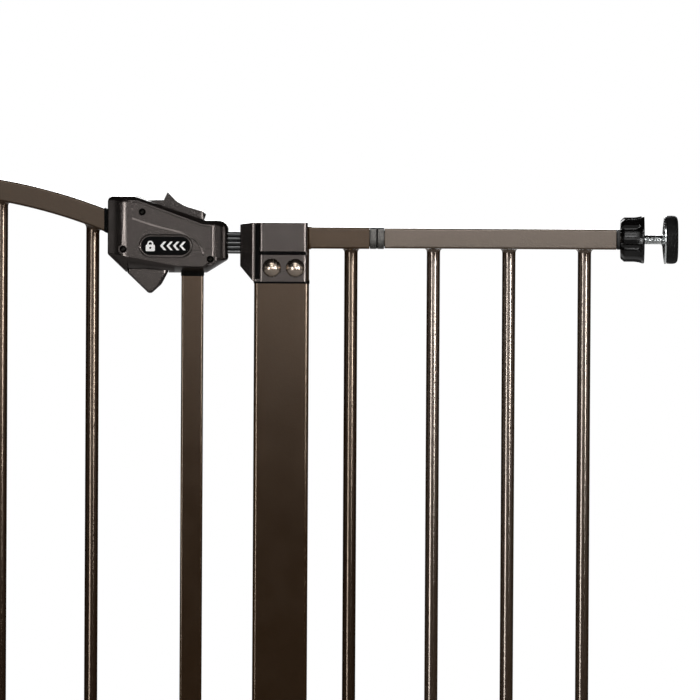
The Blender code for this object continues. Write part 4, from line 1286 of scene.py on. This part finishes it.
def make_label():
    """A glossy inlay with generic marks: a padlock, and arrows the way the slide is pushed."""
    face = -HALF_DEPTH + 0.15 * MM
    plate = prism(stadium(LABEL_CENTRE, LABEL_W, LABEL_H, 20), face, -16.6 * MM, "Y")
    plate = softened(plate, 0.35 * MM, 3)
    piece("label_plate", plate, "door", "charcoal_plastic", LABEL_BLACK, weighted=True)
    centre_x, centre_z = LABEL_CENTRE
    top = face - 0.12 * MM
    back = face + 0.3 * MM

    def mark(outline):
        return prism([(centre_x + u * MM, centre_z + v * MM) for u, v in outline], top, back, "Y")

    lock_x = -12.6
    shackle = [(lock_x + 2.5 * math.cos(a), 1.2 + 2.9 * math.sin(a)) for a in
               [math.pi * k / 14 for k in range(15)]]
    inner = [(lock_x + 1.45 * math.cos(a), 1.2 + 1.8 * math.sin(a)) for a in
             [math.pi * k / 14 for k in range(14, -1, -1)]]
    body = rectangle(7.4, 5.3, 0.8, (lock_x, -1.75), 4)
    shackle = [(lock_x + 2.5, 0.5), *shackle, (lock_x - 2.5, 0.5), (lock_x - 1.45, 0.5), *inner,
               (lock_x + 1.45, 0.5)]
    keyhole = circle(0.95, (lock_x, -1.7), 16)
    lock = carved(mark(body), ("UNION", [mark(shackle)]), ("DIFFERENCE", [mark(keyhole)]))
    arrows = []
    for start in (-4.6, 0.7, 6.0, 11.3):
        arrows.append(
            mark([(start, 0), (start + 3.1, 3.5), (start + 5.1, 3.5), (start + 2.0, 0),
                  (start + 5.1, -3.5), (start + 3.1, -3.5)])
        )
    piece("label_marks", joined(lock, *arrows), "door", "charcoal_plastic", LABEL_WHITE)


make_label()


def make_screws():
    """Pan heads with a cross recess, sunk in the front half."""
    for number, centre in enumerate(SCREWS, 1):
        low, high, _ = box_of(f"housing_screw_{number}")
        head, length = low.y, (high.y - low.y) / MM
        profile = [
            (1.3, 0.0), (1.5, 0.4), (1.5, length - 2.3), (2.75, length - 2.2), (2.8, length - 1.4),
            (2.45, length - 0.7), (1.7, length - 0.2), (0.5, length),
        ]
        form = turned(in_mm(profile), (centre.x, high.y, centre.z), (0, -1, 0), 32)
        cross = []
        for long, short in ((1.7, 0.36), (0.36, 1.7)):
            cross.append(
                box(
                    (centre.x - long * MM, head - MM, centre.z - short * MM),
                    (centre.x + long * MM, head + 1.3 * MM, centre.z + short * MM),
                )
            )
        stand_in(f"housing_screw_{number}", carved(form, ("DIFFERENCE", cross)), sharp=30)


make_screws()


def make_collars():
    """The dark sleeves where the arched rail and the latch stile enter the housing."""
    corners = (RAIL_CORNER, RAIL_CORNER)
    near, far = MIDDLE[0][0] * MM - 3.0 * MM, MIDDLE[0][0] * MM + 1.5 * MM
    places = [(near, -EASED), (near + EASED, 0.0), (far, 0.0)]
    sizes = (2 * (RAIL_HALF + 0.35 * MM), 2 * (RAIL_HALF + SLIP))
    sleeve("rail_sleeve", "door", along_arch, places, sizes, corners)

    low, high, centre = box_of("door_stile_latch")
    half = (high.x - low.x) / 2
    bottom = RAIL_Z - 31.8 * MM
    places = [(bottom, -EASED), (bottom + EASED, 0.0), (bottom + 5 * MM, 0.0)]
    sizes = (2 * (half + 0.4 * MM), 2 * (half + SLIP))
    middle = (centre.x, centre.y)
    sleeve("stile_sleeve", "door", AXES["Z"], places, sizes, corners, middle)


make_collars()


def make_thumb_slide():
    """A thumb rest scooped between its upright fin and its round end, over a keeper flange."""
    profile = rounded(
        on_slope(
            [
                (8.5, 0.0, 0.2), (23.7, 5.2, 0.8), (24.7, 12.3, 0.45), (33.9, 7.3, 9.0),
                (42.0, 5.6, 14.0), (57.2, 5.9, 1.5), (60.2, 4.4, 1.4), (60.0, -3.4, 0.4),
                (8.5, -3.4, 0.4),
            ]
        ),
        0,
        6,
    )
    half = 7 * MM
    left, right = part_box("thumb_slide")[0].x, along_slope(60 * MM, 5 * MM)[0]
    plan = rounded(
        [
            (left, -half, 1 * MM), (right, -half, 4.5 * MM),
            (right, half, 4.5 * MM), (left, half, 1 * MM),
        ],
        0,
        8,
    )
    rest = carved(
        prism(profile, -half, half, "Y"),
        ("INTERSECT", [prism(plan, RAIL_Z - 20 * MM, RAIL_Z + 60 * MM, "Z")]),
    )
    rest = softened(rest, 0.7 * MM, 3, 50)
    flange = prism(
        on_slope([(5.5, -4.6), (56.0, -4.6), (56.0, -2.9), (5.5, -2.9)]), -9.2 * MM, 9.2 * MM, "Y"
    )
    stand_in("thumb_slide", carved(rest, ("UNION", [flange])), weighted=True, material=SLIDE_DARK)


make_thumb_slide()

TRIGGER_MIDDLE = [
    (178.8, -25.6, 0.2), (178.8, -29.6, 0.4), (197.3, -47.3, 3.4), (206.6, -38.8, 8.0),
    (212.0, -28.6, 0.6), (212.0, -25.6, 0.2),
]
TRIGGER_FACE = [
    (180.3, -26.2, 0.2), (180.5, -29.2, 0.4), (197.2, -45.2, 3.0), (203.6, -38.9, 7.0),
    (207.9, -29.8, 1.0), (208.0, -26.2, 0.2),
]
TRIGGER_WAYS = {
    "left": [(0, -0.5), (0, 7.6), (0.12, 8.9), (0.4, 10.1), (0.75, 10.8), (1, 11.0)],
}
# Keeps the trigger's sides off the rounded mouth of the housing
TRIGGER_THIN = 0.83


def make_trigger():
    """A finger trigger: its blade, and two slotted plates that straddle the bolt."""
    sides = ["left"] * len(TRIGGER_MIDDLE)
    rings = moulding_rings(TRIGGER_MIDDLE, TRIGGER_FACE, sides, TRIGGER_WAYS, 1.0, 0.0)
    whole = [[(x, z, -y) for x, z, y in ring] for ring in reversed(rings[1:])] + rings[1:]
    blade = moulding(whole, -1)
    leg = in_latch([(188, -27), (210, -27), (211.6, -19), (206, -9), (196, -14)])
    low = Vector((211 * MM, RAIL_Z - 11.4 * MM))
    high = Vector((225 * MM, RAIL_Z + 2.6 * MM))
    plates = []
    for near, far in ((-11, -9.2), (9.2, 11)):
        plates.append(prism(leg, near * MM, far * MM, "Y"))
        plates.append(prism(slanted_slot(low, high, 4.4 * MM), near * MM, far * MM, "Y"))
    slot = prism(slanted_slot(low, high, 2.25 * MM), -15 * MM, 15 * MM, "Y")
    form = carved(blade, ("UNION", plates), ("DIFFERENCE", [slot]))
    bmesh.ops.scale(form, vec=(1, TRIGGER_THIN, 1), verts=form.verts)
    stand_in("trigger", form, sharp=40, weighted=True)


def slanted_slot(start, end, radius, steps=10):
    """A slot's outline between two points."""
    along = end - start
    heading = math.atan2(along.y, along.x)
    points = []
    for centre, first in ((start, heading + math.pi / 2), (end, heading - math.pi / 2)):
        for k in range(steps + 1):
            angle = first + math.pi * k / steps
            across, up = radius * math.cos(angle), radius * math.sin(angle)
            points.append((centre.x + across, centre.y + up))
    return points


make_trigger()


def make_latch_bolt():
    """The bolt: five ribs run along its front and back, with the spring's lug on top."""
    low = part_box("latch_bolt")[0]
    pin = box_of("bolt_pin")[2]
    bottom, top = low.z, RAIL_Z + 4.6 * MM
    ribs, steps = 5, 50
    front = []
    for k in range(steps + 1):
        share = k / steps
        z = bottom + (top - bottom) * share
        wave = abs(math.sin(math.pi * ribs * share))
        edge = min(1.0, share * 14, (1 - share) * 14)
        reach = (4.2 + 1.8 * wave**0.75) * MM * (0.86 + 0.14 * edge)
        front.append((-reach, z))
    outline = front + [(-y, z) for y, z in reversed(front)]
    bar = prism(outline, low.x, NOSE_X - 0.1 * MM, "X")
    lug = in_latch([(226.3, 3.0, 0), (229.4, 3.0, 0), (229.4, 11.4, 0.8), (226.3, 11.4, 0.8)])
    lug = prism(rounded(lug, 0, 3), -6 * MM, 6 * MM, "Y")
    hole = prism(circle(2.2 * MM, (pin.x, pin.z), 20), -20 * MM, 20 * MM, "Y")
    form = carved(bar, ("UNION", [lug]), ("DIFFERENCE", [hole]))
    stand_in("latch_bolt", form, sharp=50)


make_latch_bolt()

# ---- the hinge -----------------------------------------------------------------------------


def hinge_pin(node, up):
    """A plug in the stile with a collar and a stem that turns in the cap or the bracket."""
    low, high, centre = box_of(node)
    start = low.z if up else high.z
    profile = [
        (3.5, 0.0), (4.0, 0.5), (4.0, 9.0), (9.6, 9.0), (10.0, 9.4), (10.0, 12.2), (9.6, 12.6),
        (7.7, 12.6), (7.7, 35.8), (7.0, 36.6),
    ]
    direction = (0, 0, 1) if up else (0, 0, -1)
    form = turned(in_mm(profile), (centre.x, centre.y, start), direction, 40)
    stand_in(node, form)


hinge_pin("lower_hinge_pin", True)
hinge_pin("upper_hinge_pin", False)


def make_lower_bracket():
    """The bracket on the threshold that carries the lower pin, with two small ribs."""
    low, high, _ = box_of("lower_hinge_bracket")
    stile = box_of("door_stile_hinge")[2]
    outline = rounded(
        [
            (low.x, low.y, 0.4 * MM),
            (high.x, low.y, 10.6 * MM),
            (high.x, high.y, 10.6 * MM),
            (low.x, high.y, 0.4 * MM),
        ],
        0,
        10,
    )
    form = softened(prism(outline, low.z, high.z, "Z"), 0.9 * MM, 3, 50)
    hole = prism(circle(PIN_BORE, (stile.x, stile.y), 24), low.z - 5 * MM, high.z + 5 * MM, "Z")
    cuts = [hole]
    for y in (-6.5, 6.5):
        cuts.append(
            box(
                (low.x + 5 * MM, (y - 1.6) * MM, high.z - 2.2 * MM),
                (stile.x - 13 * MM, (y + 1.6) * MM, high.z + 5 * MM),
            )
        )
    stand_in("lower_hinge_bracket", carved(form, ("DIFFERENCE", cuts)), weighted=True)


make_lower_bracket()

for node in ("bolt_pin", "bolt_spring"):
    for material_slot in frame["nodes"][node].material_slots:
        material_slot.material = MATERIALS[SLOT_OF[node]]

# ---- floor, light and camera ---------------------------------------------------------------

FLOOR_REACH = 2.4
FLOOR_CORNER = 0.6
FLOOR_SHIFT = 0.1  # towards the extension, to stand under the gate's middle
FLOOR_LOW, FLOOR_TOP = -0.02, -0.5 * MM  # the threshold's underside stays clear of it


def make_floor():
    outline = rectangle(2 * FLOOR_REACH, 2 * FLOOR_REACH, FLOOR_CORNER, (FLOOR_SHIFT, 0))
    form = prism(outline, FLOOR_LOW, FLOOR_TOP, "Z")
    mesh = bpy.data.meshes.new("floor")
    form.to_mesh(mesh)
    form.free()
    mesh.materials.append(painted_floor("floor_paint"))
    floor = bpy.data.objects.new("floor", mesh)
    bpy.context.scene.collection.objects.link(floor)


make_floor()

TARGET = Vector((0.3615, 0.0, 0.660))  # the middle of the view
VIEW_WIDTH = 0.5745
CAMERA_DISTANCE = 9.0
PITCH = math.radians(2.0)
ROLL = math.radians(0.33)
SENSOR = 36.0


def make_camera():
    data = bpy.data.cameras.new("camera")
    data.sensor_width = SENSOR
    data.lens = SENSOR * CAMERA_DISTANCE / VIEW_WIDTH
    data.clip_end = 10 * CAMERA_DISTANCE
    camera = bpy.data.objects.new("camera", data)
    back = Vector((0, -math.cos(PITCH), math.sin(PITCH)))
    turn = (-back).to_track_quat("-Z", "Y") @ Matrix.Rotation(ROLL, 3, "Z").to_quaternion()
    camera.location = TARGET + back * CAMERA_DISTANCE
    camera.rotation_mode = "QUATERNION"
    camera.rotation_quaternion = turn
    bpy.context.scene.collection.objects.link(camera)
    bpy.context.scene.camera = camera


make_camera()


def softbox(name, place, aim, width, height, power, spread, lights_matt=True):
    """An area light. One that doesn't light matt colour only makes highlights."""
    data = bpy.data.lights.new(name, "AREA")
    data.shape = "RECTANGLE"
    data.size = width
    data.size_y = height
    data.energy = power
    data.spread = math.radians(spread)
    light = bpy.data.objects.new(name, data)
    light.location = place
    light.rotation_mode = "QUATERNION"
    light.rotation_quaternion = (Vector(aim) - Vector(place)).to_track_quat("-Z", "Y")
    light.visible_diffuse = lights_matt
    light.visible_camera = False
    bpy.context.scene.collection.objects.link(light)


def sky(name, place, strength, spread):
    """Broad light from above, for the floor and for matt colour; it makes no highlights."""
    data = bpy.data.lights.new(name, "SUN")
    data.energy = strength
    data.angle = math.radians(spread)
    light = bpy.data.objects.new(name, data)
    light.rotation_mode = "QUATERNION"
    light.rotation_quaternion = (-Vector(place)).to_track_quat("-Z", "Y")
    light.visible_glossy = False
    bpy.context.scene.collection.objects.link(light)


sky("sky_fill", (0.3, 1.0, 2.2), 1.7, 60)
# Name, place, the point it looks at, width and height, watts, spread in degrees
HIGHLIGHTS = [
    ("strip_left", (-0.58, -1.75, 0.47), (0.30, 0, 0.56), 0.55, 0.18, 1.2, 80),
    ("strip_low", (-0.80, -1.75, 0.29), (0.15, 0, 0.40), 0.22, 0.22, 0.4, 80),
    ("ridge_left", (-0.76, -1.75, 0.74), (0.17, 0, 0.75), 0.80, 0.30, 0.13, 11),
    ("cheek_left", (-1.35, -1.55, 0.74), (0.12, 0, 0.74), 0.75, 0.50, 0.004, 6),
    ("soft_left", (-2.5, -1.05, 0.90), (0.17, 0, 0.72), 0.60, 0.80, 0.5, 100),
    ("ridge_right", (1.50, -1.75, 0.72), (0.25, 0, 0.755), 0.70, 0.30, 0.34, 13),
    ("strip_right", (1.30, -1.45, 0.88), (0.40, 0, 0.80), 0.60, 0.40, 0.6, 50),
    ("soft_far", (2.30, -0.90, 0.85), (0.25, 0, 0.75), 0.90, 0.70, 0.8, 120),
    ("strip_top", (0.35, -1.7, 2.40), (0.36, 0, 0.75), 1.40, 0.35, 1.4, 60),
    ("front_high", (0.30, -1.9, 1.58), (0.30, 0, 0.76), 0.80, 0.40, 0.6, 50),
    ("bolt_light", (0.70, -1.9, 0.78), (0.29, 0, 0.735), 0.24, 0.24, 0.035, 12),
]
LIGHTS = [
    ("front_box", (0.28, -1.9, 0.82), (0.28, 0, 0.82), 1.10, 0.46, 2.95, 180),
    ("front_right", (0.68, -1.85, 0.80), (0.68, 0, 0.80), 0.30, 0.30, 0.20, 180),
    ("front_mid", (0.36, -1.9, 0.50), (0.36, 0, 0.50), 0.90, 0.16, 0.07, 180),
    ("soft_right", (1.5, -1.6, 1.5), (0.35, 0, 0.70), 1.0, 1.0, 2.0, 120),
    ("back_fill", (0.2, 3.0, 1.6), (0.1, 0, 0.5), 2.0, 1.5, 24, 120),
]

for row in HIGHLIGHTS:
    softbox(*row, lights_matt=False)
for row in LIGHTS:
    softbox(*row)


def make_world():
    """White behind the object. What lights it is a dim room, brighter on the front's side."""
    world = bpy.data.worlds.new("studio")
    world.use_nodes = True
    tree = world.node_tree
    seen = tree.nodes["Background"]
    feed(tree, seen, {"Color": (1, 1, 1), "Strength": 1.0})
    place = add_node(tree, "TexCoord").outputs["Generated"]
    forward = add_node(tree, "SeparateXYZ", {"Vector": place}).outputs["Y"]
    front = spread(tree, forward, (-0.35, -0.95), (0.012, 0.035))
    glow = add_node(tree, "Background", {"Color": (1, 0.98, 0.96), "Strength": front})
    to_camera = add_node(tree, "LightPath").outputs["Is Camera Ray"]
    mix = add_node(tree, "MixShader", {"Fac": to_camera})
    feed(tree, mix, {1: glow.outputs["Background"], 2: seen.outputs["Background"]})
    feed(tree, tree.nodes["World Output"], {"Surface": mix.outputs["Shader"]})
    bpy.context.scene.world = world


make_world()
bpy.context.scene.view_settings.view_transform = "Standard"
